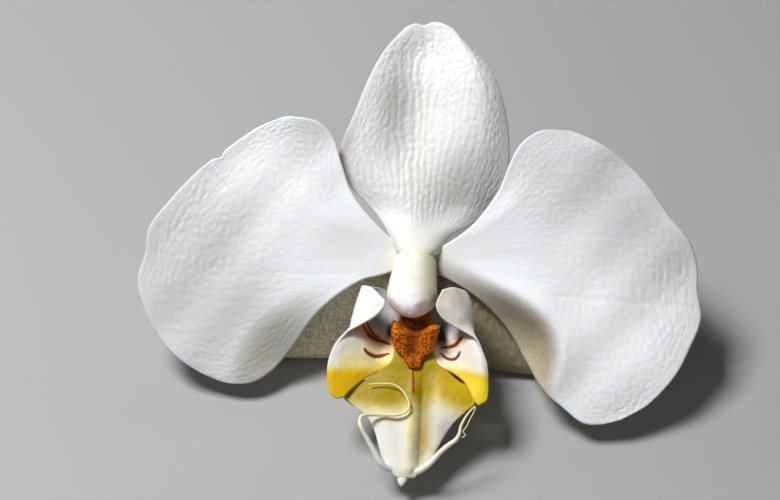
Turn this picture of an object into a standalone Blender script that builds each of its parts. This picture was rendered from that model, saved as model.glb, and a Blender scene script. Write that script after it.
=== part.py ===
"""A white moth orchid flower, picked and laid face up on a flat surface.

The flower rests on the bent tips of its two lower sepals and on the cut end of its stalk. Its own
numbers are in millimetres: a runs to the right across the face, f runs up the face, and n runs out
of the face towards the viewer. The empty named bloom turns that frame into the world's.
"""
import math

import bmesh
import bpy
import numpy as np

MM = 0.001
FACE_TILT = math.radians(43.5)
CENTRE_HEIGHT = 18.3
CENTRE_X = -0.7
CENTRE_Y = 1.45

PETAL_THICKNESS = 0.7
SEPAL_THICKNESS = 0.7
LIP_THICKNESS = 0.8
SIDE_LOBE_THICKNESS = 0.66

# The four edges of each blade, as (a, f). Base and outer edges run from the first side to the second.
LEFT_PETAL = {
    "base": [(-3.0, -1.9), (-3.1, 0.0), (-3.0, 1.8)],
    "first": [(-3.0, -1.9), (-5.6, -2.8), (-8.9, -3.9), (-13.0, -6.9), (-16.2, -10.4), (-19.0, -14.9),
              (-21.9, -18.7), (-24.8, -20.8), (-28.0, -21.3), (-30.6, -20.8)],
    "second": [(-3.0, 1.8), (-6.3, 5.1), (-10.5, 9.7), (-12.8, 15.1), (-14.2, 19.0), (-16.9, 21.3),
               (-20.8, 21.8), (-22.4, 21.4)],
    "outer": [(-30.6, -20.8), (-34.5, -19.3), (-38.3, -16.7), (-41.3, -13.2), (-43.3, -9.1),
              (-44.2, -5.2), (-43.2, -1.1), (-42.7, 3.0), (-40.2, 6.8), (-35.6, 12.3), (-31.5, 15.8),
              (-26.8, 19.5), (-22.4, 21.4)],
}
RIGHT_PETAL = {
    "base": [(3.0, -1.9), (3.1, 0.0), (3.0, 1.6)],
    "first": [(3.0, -1.9), (5.4, -2.9), (8.9, -4.7), (12.4, -7.3), (15.8, -10.9), (18.3, -15.0),
              (20.9, -19.3), (24.2, -22.0), (27.5, -24.3), (30.6, -24.4), (33.7, -23.5)],
    "second": [(3.0, 1.6), (5.1, 3.1), (8.9, 6.3), (12.4, 11.5), (14.0, 16.0), (15.7, 19.4),
               (18.9, 21.7), (23.6, 21.9)],
    "outer": [(33.7, -23.5), (38.1, -20.7), (41.9, -16.1), (44.3, -11.3), (45.8, -7.0), (45.2, -2.6),
              (45.0, 1.4), (43.4, 5.4), (40.2, 8.9), (36.7, 13.4), (32.4, 17.5), (27.9, 20.3),
              (23.6, 21.9)],
}
DORSAL_SEPAL = {
    "base": [(-3.0, 2.1), (-1.7, 3.0), (0.0, 3.3), (1.8, 3.0), (3.2, 2.1)],
    "first": [(-3.0, 2.1), (-6.4, 4.6), (-10.6, 8.4), (-13.6, 13.4), (-12.9, 18.1), (-11.1, 23.3),
              (-9.1, 29.0), (-6.8, 33.7), (-3.6, 37.6)],
    "second": [(3.2, 2.1), (6.6, 4.2), (11.2, 7.8), (14.1, 13.2), (14.0, 19.0), (13.3, 24.5),
               (11.1, 30.3), (8.2, 33.9), (5.0, 36.8)],
    "outer": [(-3.6, 37.6), (-2.0, 38.3), (-0.6, 38.1), (1.0, 38.7), (3.2, 38.2), (5.0, 36.8)],
}

# A lower sepal laid flat: p runs outwards from the middle, q runs down from the flower's centre.
LATERAL_SEPAL = {
    "base": [(1.0, 0.3), (2.2, -0.4), (3.4, -0.9)],
    "first": [(1.0, 0.3), (1.2, 5.0), (2.6, 12.0), (4.6, 18.5), (8.6, 24.4), (14.0, 27.6), (19.0, 28.2)],
    "second": [(3.4, -0.9), (8.6, -1.0), (15.4, 1.6), (21.6, 7.4), (25.6, 14.6), (26.8, 20.6),
               (25.2, 25.0)],
    "outer": [(19.0, 28.2), (21.6, 27.8), (23.8, 26.6), (25.2, 25.0)],
}
# The sepal's side view, as (distance in front of the flower's centre, height over the surface).
SEPAL_DROP = [(0.9, 16.1), (2.9, 11.6), (4.9, 7.2), (6.3, 3.9), (6.8, 2.1), (6.1, 0.75), (4.5, 0.34),
              (2.4, 0.33), (-1.0, 0.33), (-5.0, 0.33), (-9.0, 0.33)]
# How much further forward each lower sepal reaches the surface, and how that grows outwards.
SEPAL_REACH = {-1: 0.3, 1: 1.1}
SEPAL_SKEW = {-1: 0.05, 1: 0.1}

# How the petals stand out of the flower's plane.
PETAL_LEVEL = -0.25
PETAL_DISH = 1.9
PETAL_TOP_ROLL = 1.55
PETAL_DIMPLES = 0.24
LEFT_OUTER_FALL = 1.7
LEFT_LOW_ROLL = 2.2
LEFT_CREASE = 0.35
LEFT_WAVES = 0.4
RIGHT_OUTER_FALL = 1.3
RIGHT_FOLD = 3.4
RIGHT_RIDGE = 0.35
RIGHT_WAVES = 0.55

# How the upper sepal lies behind them. Its folds are (place across it, width, height).
DORSAL_LEVEL = -1.3
DORSAL_SINK = 1.5
DORSAL_RISE = 0.5
DORSAL_TIP_FALL = 1.4
DORSAL_ROLL = 1.5
DORSAL_RIBS = 0.12
DORSAL_FOLDS = [(0.42, 0.2, 0.75), (-0.18, 0.2, -0.75), (-0.6, 0.16, 0.5), (0.76, 0.12, -0.45)]

# The lip's middle: left edge, centre line and right edge of each station, and how far it swells.
LIP_MIDDLE = [
    ((-1.5, -3.5, -0.7), (0.1, -3.6, -0.9), (1.7, -3.5, -0.7), 0.0),
    ((-2.0, -7.0, 0.9), (0.2, -7.2, 0.3), (2.4, -7.0, 0.9), 0.0),
    ((-2.4, -10.0, 3.4), (0.2, -10.2, 2.9), (2.9, -10.0, 3.4), 0.0),
    ((-2.7, -13.0, 5.9), (0.3, -13.0, 5.5), (3.4, -13.0, 5.9), 0.0),
    ((-3.1, -15.8, 7.3), (0.3, -15.8, 7.0), (3.9, -15.6, 7.3), 0.1),
    ((-4.8, -17.8, 7.9), (0.4, -17.8, 7.6), (5.4, -17.5, 7.9), 0.3),
    ((-7.2, -18.9, 8.3), (0.4, -19.8, 8.2), (7.8, -18.7, 8.3), 0.5),
    ((-9.4, -20.4, 8.8), (0.3, -21.8, 8.8), (9.8, -20.3, 8.8), 0.7),
    ((-10.3, -21.7, 9.4), (0.2, -23.6, 9.3), (10.3, -21.6, 9.4), 0.8),
    ((-8.6, -23.0, 9.8), (0.1, -25.2, 9.8), (9.2, -22.7, 9.8), 0.8),
    ((-6.5, -24.5, 10.2), (0.0, -26.8, 10.3), (7.4, -24.2, 10.2), 0.8),
    ((-5.2, -26.4, 10.7), (-0.1, -28.4, 10.8), (5.8, -26.4, 10.7), 0.7),
    ((-4.4, -28.8, 11.2), (-0.2, -30.2, 11.3), (4.6, -28.8, 11.2), 0.6),
    ((-3.4, -31.2, 11.8), (-0.4, -32.0, 11.9), (3.6, -31.1, 11.8), 0.4),
    ((-1.5, -33.3, 12.4), (-0.5, -33.5, 12.5), (1.2, -33.3, 12.4), 0.1),
]
LIP_NUB = [(-0.5, -32.6, 12.2), (-0.6, -33.6, 12.5), (-0.6, -34.3, 12.6)]
LIP_NUB_RADII = [0.75, 0.72, 0.42]

# Side lobes: each row runs from where the lobe grows out of the claw, round its back wall, to its
# free front edge. The first row is the yellow lower edge and the last is the white top.
LEFT_SIDE_LOBE = [
    [(-1.7, -16.5, 7.3), (-4.2, -17.3, 7.6), (-6.9, -18.7, 8.6), (-9.1, -20.5, 9.9),
     (-10.1, -21.6, 10.4), (-11.2, -22.0, 10.6)],
    [(-1.8, -15.8, 7.2), (-4.4, -16.8, 7.0), (-7.1, -17.4, 8.4), (-10.0, -19.3, 9.9),
     (-11.4, -20.6, 10.4), (-12.4, -21.1, 10.4)],
    [(-1.8, -15.1, 7.0), (-4.6, -15.7, 6.2), (-7.4, -16.1, 8.0), (-10.7, -17.5, 9.6),
     (-12.3, -18.5, 10.1), (-12.9, -18.9, 9.7)],
    [(-1.9, -14.2, 6.5), (-4.7, -14.5, 5.4), (-7.6, -14.4, 7.6), (-10.8, -15.1, 9.1),
     (-12.1, -15.8, 9.6), (-12.9, -16.4, 9.5)],
    [(-1.9, -13.1, 5.8), (-4.9, -13.0, 4.6), (-7.9, -12.4, 7.1), (-10.1, -12.6, 8.5),
     (-11.3, -13.3, 9.0), (-12.2, -14.1, 9.3)],
    [(-1.8, -11.7, 4.5), (-5.5, -10.9, 3.5), (-8.3, -10.9, 6.3), (-9.3, -11.2, 7.6),
     (-9.9, -11.5, 8.5), (-10.4, -11.8, 9.2)],
    [(-1.8, -10.4, 3.3), (-5.4, -9.0, 2.0), (-8.1, -9.3, 3.4), (-9.4, -9.7, 5.4), (-9.3, -10.1, 7.7),
     (-8.5, -10.6, 9.3)],
    [(-1.7, -9.0, 2.1), (-5.4, -7.3, 1.2), (-8.1, -7.4, 2.4), (-9.1, -7.8, 5.2), (-8.2, -8.3, 8.4),
     (-6.2, -9.2, 9.6)],
    [(-1.6, -7.9, 1.2), (-5.1, -5.7, 0.8), (-7.7, -5.6, 2.0), (-8.5, -5.8, 5.2), (-7.1, -6.4, 8.5),
     (-4.7, -7.6, 9.6)],
    [(-1.6, -7.3, 0.7), (-5.0, -4.9, 0.7), (-7.4, -4.6, 2.4), (-8.1, -4.4, 5.4), (-6.7, -4.6, 8.2),
     (-4.5, -6.5, 9.5)],
]
RIGHT_SIDE_LOBE = [
    [(2.7, -16.0, 7.3), (5.3, -16.7, 7.6), (8.0, -18.2, 8.8), (9.4, -19.7, 9.9), (10.2, -20.9, 10.4),
     (11.2, -21.6, 10.8)],
    [(2.7, -15.6, 7.2), (5.6, -16.1, 7.0), (8.2, -16.6, 8.4), (10.0, -18.5, 9.9), (10.9, -19.9, 10.5),
     (11.6, -20.6, 10.5)],
    [(2.6, -14.8, 6.9), (5.7, -15.2, 6.2), (8.2, -15.1, 8.0), (10.2, -16.4, 9.6), (11.3, -17.5, 10.1),
     (12.0, -18.1, 9.9)],
    [(2.6, -13.9, 6.4), (5.7, -14.0, 5.4), (8.1, -13.6, 7.7), (9.9, -14.1, 9.2), (11.0, -14.9, 9.7),
     (11.7, -15.5, 9.6)],
    [(2.5, -12.8, 5.7), (5.8, -12.4, 4.6), (8.0, -11.9, 7.1), (9.2, -12.2, 8.4), (10.1, -12.8, 9.0),
     (10.9, -13.5, 9.4)],
    [(2.4, -11.6, 4.5), (5.7, -10.8, 3.4), (8.2, -10.9, 6.0), (9.0, -11.1, 7.3), (9.5, -11.4, 8.3),
     (9.8, -11.7, 9.3)],
    [(2.3, -10.2, 3.2), (5.5, -8.9, 2.0), (8.0, -9.4, 3.4), (9.2, -9.8, 5.3), (9.1, -10.2, 7.6),
     (8.4, -10.9, 9.3)],
    [(2.1, -8.9, 2.0), (5.1, -7.1, 1.2), (7.5, -7.2, 2.4), (9.1, -7.7, 5.0), (7.8, -8.1, 8.2),
     (4.8, -9.1, 9.6)],
    [(2.0, -7.9, 1.2), (4.8, -5.7, 0.8), (6.9, -5.4, 2.0), (8.6, -5.8, 5.0), (6.4, -5.8, 8.3),
     (3.3, -6.9, 9.6)],
    [(2.0, -7.3, 0.7), (4.6, -4.8, 0.7), (6.4, -4.5, 2.4), (7.9, -4.5, 5.2), (5.9, -3.9, 7.6),
     (4.2, -4.3, 8.8)],
]

# The tendrils' centre lines and their half widths from the lip's tip to the free end.
LEFT_TENDRIL = [(-0.9, -32.4, 12.4), (-2.8, -32.3, 12.9), (-3.9, -31.2, 13.2), (-5.1, -29.3, 13.5),
                (-6.4, -27.2, 13.8), (-7.3, -25.6, 14.0), (-7.5, -24.8, 14.1), (-6.9, -24.1, 14.1),
                (-4.5, -24.0, 13.7), (-2.1, -23.9, 13.2), (-0.6, -23.4, 12.9), (0.0, -22.4, 12.8),
                (-0.5, -21.1, 12.7), (-1.5, -19.9, 12.4), (-2.8, -19.3, 12.1), (-4.6, -19.3, 12.0),
                (-6.4, -19.5, 12.2)]
LEFT_TENDRIL_RADII = [0.55, 0.5, 0.48, 0.46, 0.44, 0.42, 0.42, 0.4, 0.38, 0.36, 0.35, 0.34, 0.33,
                      0.32, 0.31, 0.3, 0.3]
RIGHT_TENDRIL = [(0.0, -32.6, 12.4), (1.5, -32.6, 12.9), (3.4, -31.0, 13.2), (4.8, -29.3, 13.4),
                 (6.1, -28.0, 13.5), (7.3, -27.0, 13.6), (7.8, -26.0, 13.6), (8.0, -24.8, 13.5),
                 (8.8, -23.2, 13.3), (9.9, -21.9, 13.0)]
RIGHT_TENDRIL_RADII = [0.55, 0.5, 0.48, 0.46, 0.44, 0.42, 0.4, 0.36, 0.32, 0.3]

# The callus on the lip's claw, as a blade that is thick in the middle.
CALLUS = {
    "base": [(-0.6, -16.5), (0.4, -16.8), (1.5, -16.5)],
    "first": [(-0.6, -16.5), (-1.5, -15.1), (-2.8, -13.9), (-3.3, -12.2), (-3.5, -10.8), (-3.1, -9.6)],
    "second": [(1.5, -16.5), (2.1, -15.0), (3.3, -14.0), (3.8, -12.2), (4.2, -11.0), (4.3, -10.0)],
    "outer": [(-3.1, -9.6), (-2.3, -9.9), (-1.2, -10.7), (0.3, -11.1), (1.7, -10.7), (3.0, -9.9),
              (4.3, -10.0)],
}

# The callus's underside over the claw, as (distance down from the flower's centre, height).
CALLUS_SEAT = [(9.0, 3.55), (11.5, 5.15), (13.0, 6.5), (15.8, 7.9), (17.8, 8.5)]
CALLUS_TOP = 8.5
CALLUS_HORN_RISE = 0.9
CALLUS_GROOVE = 0.9
CALLUS_EDGE_FALL = 0.35
CALLUS_TIP_FALL = 0.6
CALLUS_LEAST = 0.62

# The column's rings: centre (a, f, n), half width across and half depth.
COLUMN_RINGS = [
    ((0.0, 0.4, -1.65), 2.45, 2.4),
    ((0.0, 0.4, -0.75), 2.6, 2.5),
    ((0.0, 0.1, 0.35), 2.95, 2.65),
    ((-0.1, -0.7, 1.5), 3.3, 2.8),
    ((-0.2, -1.9, 2.8), 3.5, 2.85),
    ((-0.3, -3.3, 4.1), 3.75, 2.9),
    ((-0.4, -4.7, 5.3), 3.9, 2.95),
]
CAP_RINGS = [
    ((-0.4, -4.95, 5.52), 3.9, 2.95),
    ((-0.4, -5.7, 6.2), 4.0, 3.0),
    ((-0.4, -6.4, 6.85), 3.75, 2.85),
    ((-0.4, -7.1, 7.45), 3.2, 2.5),
    ((-0.4, -7.7, 8.0), 2.3, 1.95),
    ((-0.4, -8.15, 8.4), 1.2, 1.2),
]
CAP_TIP = (-0.4, -8.4, 8.62)

# The stalk seen from the side: distance behind the flower's centre, height, and radius.
STALK = [
    (1.38, 16.87, 3.5),
    (1.75, 16.48, 3.3),
    (2.4, 15.8, 2.4),
    (3.4, 14.7, 1.85),
    (5.2, 12.8, 1.7),
    (8.0, 9.9, 1.75),
    (11.2, 6.9, 1.7),
    (14.6, 4.3, 1.55),
    (18.4, 2.3, 1.45),
    (22.4, 1.45, 1.42),
    (25.6, 1.42, 1.5),
]


def clear_scene():
    """Start from an empty scene."""
    for thing in list(bpy.data.objects):
        bpy.data.objects.remove(thing, do_unlink=True)


def material(name, colour, roughness):
    """A plain finish for one kind of piece."""
    finish = bpy.data.materials.new(name)
    finish.use_nodes = True
    shader = finish.node_tree.nodes["Principled BSDF"]
    shader.inputs["Base Color"].default_value = (*colour, 1.0)
    shader.inputs["Roughness"].default_value = roughness
    shader.inputs["Metallic"].default_value = 0.0
    finish.diffuse_color = (*colour, 1.0)
    return finish


def ramp(value, low, high):
    """Rises smoothly from 0 at low to 1 at high."""
    x = np.clip((value - low) / (high - low), 0.0, 1.0)
    return x * x * (3.0 - 2.0 * x)


def hump(value, centre, width):
    """A soft bump of height 1 round one value."""
    return np.exp(-(((value - centre) / width) ** 2))


def spline(points, steps):
    """Walk a smooth curve that passes through every point, with the same steps in each span."""
    points = np.array(points, float)
    ends = np.concatenate([[2 * points[0] - points[1]], points, [2 * points[-1] - points[-2]]])
    spans = len(points) - 1
    where = np.linspace(0.0, spans, steps + 1)
    span = np.minimum(where.astype(int), spans - 1)
    t = (where - span).reshape((-1,) + (1,) * (points.ndim - 1))
    p0, p1, p2, p3 = (ends[span + k] for k in range(4))
    return 0.5 * (
        2 * p1 + (p2 - p0) * t + (2 * p0 - 5 * p1 + 4 * p2 - p3) * t**2
        + (3 * p1 - p0 - 3 * p2 + p3) * t**3
    )


def even_spline(points, steps):
    """Walk the same curve in steps of equal length."""
    fine = spline(points, 24 * (len(points) - 1))
    length = np.concatenate([[0.0], np.cumsum(np.linalg.norm(np.diff(fine, axis=0), axis=1))])
    wanted = np.linspace(0.0, length[-1], steps + 1)
    return np.stack([np.interp(wanted, length, fine[:, k]) for k in range(fine.shape[1])], axis=1)


def outline_grid(outline, rows, columns):
    """Fill an outline of four edges with a grid, from its base (s = 0) to its outer edge (s = 1)."""
    first = even_spline(outline["first"], rows)[:, None]
    second = even_spline(outline["second"], rows)[:, None]
    base = even_spline(outline["base"], columns)[None]
    outer = even_spline(outline["outer"], columns)[None]
    s = np.linspace(0.0, 1.0, rows + 1)[:, None, None]
    u = np.linspace(0.0, 1.0, columns + 1)[None, :, None]
    sides = (1 - u) * first + u * second
    ends = (1 - s) * base + s * outer
    corners = (1 - s) * ((1 - u) * first[0] + u * second[0]) + s * ((1 - u) * first[-1] + u * second[-1])
    flat = sides + ends - corners
    return flat[..., 0], flat[..., 1], s[..., 0], 2 * u[..., 0] - 1


def net_grid(net, rows, columns):
    """A smooth surface through a net of points."""
    down = spline(net, rows)
    return np.swapaxes(spline(np.swapaxes(down, 0, 1), columns), 0, 1)


def grid_normals(surface, towards):
    """Unit normals of a grid of points, on the side that faces the given direction."""
    along = np.gradient(surface, axis=0)
    across = np.gradient(surface, axis=1)
    normals = np.cross(along, across)
    normals /= np.linalg.norm(normals, axis=2, keepdims=True)
    mean = normals.reshape(-1, 3).mean(axis=0)
    return normals if mean @ np.array(towards) > 0 else -normals


def blade(surface, thickness, towards=(0, 0, 1), floor=None):
    """Give a grid of points a thickness, with both faces split into the same triangles."""
    normals = grid_normals(surface, towards)
    half = 0.5 * np.asarray(thickness) * np.ones(surface.shape[:2])
    front = surface + normals * half[..., None]
    back = surface - normals * half[..., None]
    if floor is not None:
        front[..., 2] = np.maximum(front[..., 2], floor)
        back[..., 2] = np.maximum(back[..., 2], floor)
    rows, columns = surface.shape[:2]
    vertices = np.concatenate([front.reshape(-1, 3), back.reshape(-1, 3)])
    behind = rows * columns

    def index(i, j):
        return i * columns + j

    faces = []
    for i in range(rows - 1):
        for j in range(columns - 1):
            a, b, c, d = index(i, j), index(i + 1, j), index(i + 1, j + 1), index(i, j + 1)
            faces += [(a, b, c), (a, c, d)]
            faces += [(c + behind, b + behind, a + behind), (d + behind, c + behind, a + behind)]
    rim = [index(i, 0) for i in range(rows)] + [index(rows - 1, j) for j in range(1, columns)]
    rim += [index(i, columns - 1) for i in range(rows - 2, -1, -1)]
    rim += [index(0, j) for j in range(columns - 2, 0, -1)]
    for a, b in zip(rim, rim[1:] + rim[:1]):
        faces += [(b, a, a + behind), (b, a + behind, b + behind)]
    return vertices, faces


def rings_to_solid(rings, tip=None):
    """Close a row of rings into a solid, with a flat cap or a point at its far end."""
    sides = len(rings[0])
    vertices = [point for ring in rings for point in ring]
    faces = []
    for k in range(len(rings) - 1):
        for i in range(sides):
            a, b = k * sides + i, k * sides + (i + 1) % sides
            faces += [(a, b, b + sides), (a, b + sides, a + sides)]
    faces.append(tuple(range(sides - 1, -1, -1)))
    last = (len(rings) - 1) * sides
    if tip is None:
        faces.append(tuple(last + i for i in range(sides)))
    else:
        vertices.append(np.array(tip, float))
        faces += [(last + i, last + (i + 1) % sides, len(vertices) - 1) for i in range(sides)]
    return vertices, faces


def level_rings(stations, sides, ribs=0.0):
    """Elliptical rings whose centres lie in one upright plane: (centre, half width, half depth)."""
    centres = np.array([station[0] for station in stations], float)
    tangents = np.gradient(centres, axis=0)
    tangents[:, 0] = 0.0
    tangents /= np.linalg.norm(tangents, axis=1, keepdims=True)
    rings = []
    for k, (centre, tangent) in enumerate(zip(centres, tangents)):
        side = np.array([1.0, 0.0, 0.0])
        up = np.cross(tangent, side)
        ring = []
        for i in range(sides):
            angle = 2 * math.pi * i / sides
            swell = 1.0 + ribs * math.cos(3 * angle + 0.25 * k)
            ring.append(
                centre + side * stations[k][1] * swell * math.cos(angle)
                + up * stations[k][2] * swell * math.sin(angle)
            )
        rings.append(ring)
    return rings


def tube(points, radii, steps, sides):
    """A thin tapering tendril along a smooth curve."""
    line = spline([(*point, radius) for point, radius in zip(points, radii)], steps)
    centres, widths = line[:, :3], line[:, 3]
    tangents = np.gradient(centres, axis=0)
    tangents /= np.linalg.norm(tangents, axis=1, keepdims=True)
    side = np.cross(tangents[0], [0.0, 0.0, 1.0])
    rings = []
    for centre, tangent, width in zip(centres, tangents, widths):
        side = side - tangent * (side @ tangent)
        side /= np.linalg.norm(side)
        up = np.cross(tangent, side)
        angles = [2 * math.pi * i / sides for i in range(sides)]
        rings.append([centre + width * (side * math.cos(t) + up * math.sin(t)) for t in angles])
    return rings_to_solid(rings)


def add_piece(name, shape, finish, parent):
    """Make one object from vertices in millimetres and faces."""
    vertices, faces = shape
    mesh = bpy.data.meshes.new(name)
    mesh.from_pydata([tuple(float(c) * MM for c in vertex) for vertex in vertices], [], faces)
    tidy = bmesh.new()
    tidy.from_mesh(mesh)
    bmesh.ops.triangulate(tidy, faces=[face for face in tidy.faces if len(face.verts) > 4])
    bmesh.ops.recalc_face_normals(tidy, faces=tidy.faces)
    tidy.to_mesh(mesh)
    tidy.free()
    mesh.materials.append(finish)
    mesh.shade_smooth()
    mesh.set_sharp_from_angle(angle=math.radians(50))
    piece = bpy.data.objects.new(name, mesh)
    bpy.context.collection.objects.link(piece)
    piece.parent = parent
    return piece


def add_empty(name, location, rotation):
    """A point that pieces hang from."""
    empty = bpy.data.objects.new(name, None)
    empty.location = location
    empty.rotation_euler = rotation
    bpy.context.collection.objects.link(empty)
    return empty


def left_petal_depth(s, w, a, f):
    """How far the left petal stands out of the flower's plane."""
    dish = PETAL_DISH * ramp(s, 0.0, 0.45) - LEFT_OUTER_FALL * ramp(s, 0.62, 1.0)
    crease = -LEFT_CREASE * hump(w, -0.16, 0.08) * ramp(s, 0.1, 0.4) * (1 - ramp(s, 0.75, 1.0))
    top_roll = -PETAL_TOP_ROLL * ramp(w, 0.5, 1.0) * ramp(s, 0.1, 0.5)
    low_roll = -LEFT_LOW_ROLL * ramp(-w, 0.45, 1.0) * ramp(s, 0.12, 0.5) * (1 - 0.5 * ramp(s, 0.8, 1.0))
    waves = LEFT_WAVES * np.sin(7.0 * w + 0.6) * ramp(s, 0.55, 1.0)
    dimples = PETAL_DIMPLES * np.sin(0.55 * a + 0.4) * np.sin(0.42 * f) * ramp(s, 0.3, 0.7)
    return PETAL_LEVEL + dish + crease + top_roll + low_roll + waves + dimples


def right_petal_depth(s, w, a, f):
    """How far the right petal stands out of the flower's plane."""
    dish = PETAL_DISH * ramp(s, 0.0, 0.45) - RIGHT_OUTER_FALL * ramp(s, 0.66, 1.0)
    top_roll = -PETAL_TOP_ROLL * ramp(w, 0.5, 1.0) * ramp(s, 0.1, 0.5)
    fold = -RIGHT_FOLD * ramp(-w, 0.5, 1.0) * ramp(s, 0.1, 0.36) * (1 - ramp(s, 0.66, 0.97))
    ridge = RIGHT_RIDGE * hump(w, -0.5, 0.14) * ramp(s, 0.1, 0.3) * (1 - ramp(s, 0.7, 0.9))
    waves = RIGHT_WAVES * np.sin(9.0 * w - 0.5) * ramp(s, 0.6, 1.0)
    dimples = PETAL_DIMPLES * np.sin(0.5 * a + 1.4) * np.sin(0.45 * f + 0.8) * ramp(s, 0.3, 0.7)
    return PETAL_LEVEL + dish + top_roll + fold + ridge + waves + dimples


def dorsal_depth(s, w, a, f):
    """The upper sepal lies behind the petals and has soft folds along it."""
    sink = DORSAL_SINK * ramp(s, 0.0, 0.22) - DORSAL_RISE * ramp(s, 0.3, 0.6)
    tip_fall = DORSAL_TIP_FALL * ramp(s, 0.7, 1.0)
    roll = DORSAL_ROLL * ramp(np.abs(w), 0.62, 1.0) * ramp(s, 0.08, 0.3)
    folds = sum(size * hump(w, centre, width) for centre, width, size in DORSAL_FOLDS)
    folds = folds * ramp(s, 0.12, 0.4) * (1 - 0.7 * ramp(s, 0.8, 1.0))
    ribs = DORSAL_RIBS * np.cos(26.0 * w) * ramp(s, 0.08, 0.2) * (1 - ramp(s, 0.45, 0.8))
    return DORSAL_LEVEL - sink - tip_fall - roll + folds + ribs


def lateral_sepal(side):
    """A lower sepal: its outline, laid over its side view, with a slight crown and folds."""
    p, q, s, w = outline_grid(LATERAL_SEPAL, 22, 14)
    fine = even_spline(SEPAL_DROP, 400)
    lengths = np.linspace(0.0, 1.0, 401) * np.linalg.norm(np.diff(fine, axis=0), axis=1).sum()
    tangents = np.gradient(fine, axis=0)
    tangents /= np.linalg.norm(tangents, axis=1, keepdims=True)
    along = np.clip(q + 1.0, 0.0, lengths[-1])
    ahead, height = (np.interp(along, lengths, fine[:, k]) for k in range(2))
    run, fall = (np.interp(along, lengths, tangents[:, k]) for k in range(2))
    ahead = ahead + (SEPAL_REACH[side] + SEPAL_SKEW[side] * (p - 17.0)) * ramp(q, 3.0, 17.0)
    hanging = 1 - ramp(q, 11.0, 16.5)
    crown = (0.9 * (1 - w * w) - 0.5 + 0.3 * np.sin(5.0 * w + side)) * ramp(s, 0.08, 0.3) * hanging
    surface = np.stack([side * p, -(ahead - fall * crown), height + run * crown], axis=2)
    return blade(surface, SEPAL_THICKNESS, towards=(0, -1, 0.1), floor=0.0)


def petal(outline, depth, rows, columns, thickness):
    """A blade from its outline and its depth rule."""
    a, f, s, w = outline_grid(outline, rows, columns)
    return blade(np.stack([a, f, depth(s, w, a, f)], axis=2), thickness)


def lip_middle():
    """The claw and the arrow shaped middle lobe of the lip."""
    net = []
    for left, centre, right, swell in LIP_MIDDLE:
        left, centre, right = (np.array(point) for point in (left, centre, right))
        raised = np.array([0.0, 0.0, swell])
        net.append([left, (left + centre) / 2 + raised, centre, (right + centre) / 2 + raised, right])
    return blade(net_grid(net, 34, 12), LIP_THICKNESS)


def lip_nub():
    """The small blunt tooth at the lip's tip."""
    return tube(LIP_NUB, LIP_NUB_RADII, 4, 8)


def side_lobe(net):
    """One upright side lobe of the lip."""
    return blade(net_grid(net, 20, 14), SIDE_LOBE_THICKNESS)


def callus():
    """The two horned swelling, hollowed along its middle."""
    a, f, s, w = outline_grid(CALLUS, 10, 10)
    down, height = np.array(CALLUS_SEAT).T
    seat = np.interp(-f, down, height)
    groove = CALLUS_GROOVE * hump(w, 0.0, 0.35) * ramp(s, 0.0, 0.5)
    top = CALLUS_TOP + CALLUS_HORN_RISE * ramp(s, 0.2, 1.0) - groove
    top = top - CALLUS_EDGE_FALL * ramp(np.abs(w), 0.7, 1.0) - CALLUS_TIP_FALL * (1 - ramp(s, 0.0, 0.25))
    top = np.maximum(top, seat + CALLUS_LEAST)
    vertices, faces = blade(np.stack([a, f, seat], axis=2), 0.0)
    vertices[:seat.size, 2] = top.ravel()
    return vertices, faces


def stalk():
    """The ovary and the flower's own stalk, down to its cut end on the surface."""
    smooth = even_spline(STALK, 18)
    stations = [((0.0, behind, height), radius, radius) for behind, height, radius in smooth]
    rings = level_rings(stations, 16, ribs=0.05)
    for ring in rings:
        for point in ring:
            point[2] = max(point[2], 0.0)
    return rings_to_solid(rings)


def join(pieces, name):
    """Fuse the named first piece with the others into one solid."""
    helpers = bpy.data.collections.new(name + "_helpers")
    bpy.context.scene.collection.children.link(helpers)
    first, others = pieces[0], pieces[1:]
    for other in others:
        for owner in list(other.users_collection):
            owner.objects.unlink(other)
        helpers.objects.link(other)
    union = first.modifiers.new("union", "BOOLEAN")
    union.operation = "UNION"
    union.solver = "EXACT"
    union.operand_type = "COLLECTION"
    union.collection = helpers
    bpy.context.view_layer.update()
    graph = bpy.context.evaluated_depsgraph_get()
    fused = bpy.data.meshes.new_from_object(first.evaluated_get(graph))
    first.modifiers.remove(union)
    first.data = fused
    for other in others:
        bpy.data.objects.remove(other, do_unlink=True)
    bpy.data.collections.remove(helpers)
    first.name = name
    return first


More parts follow.
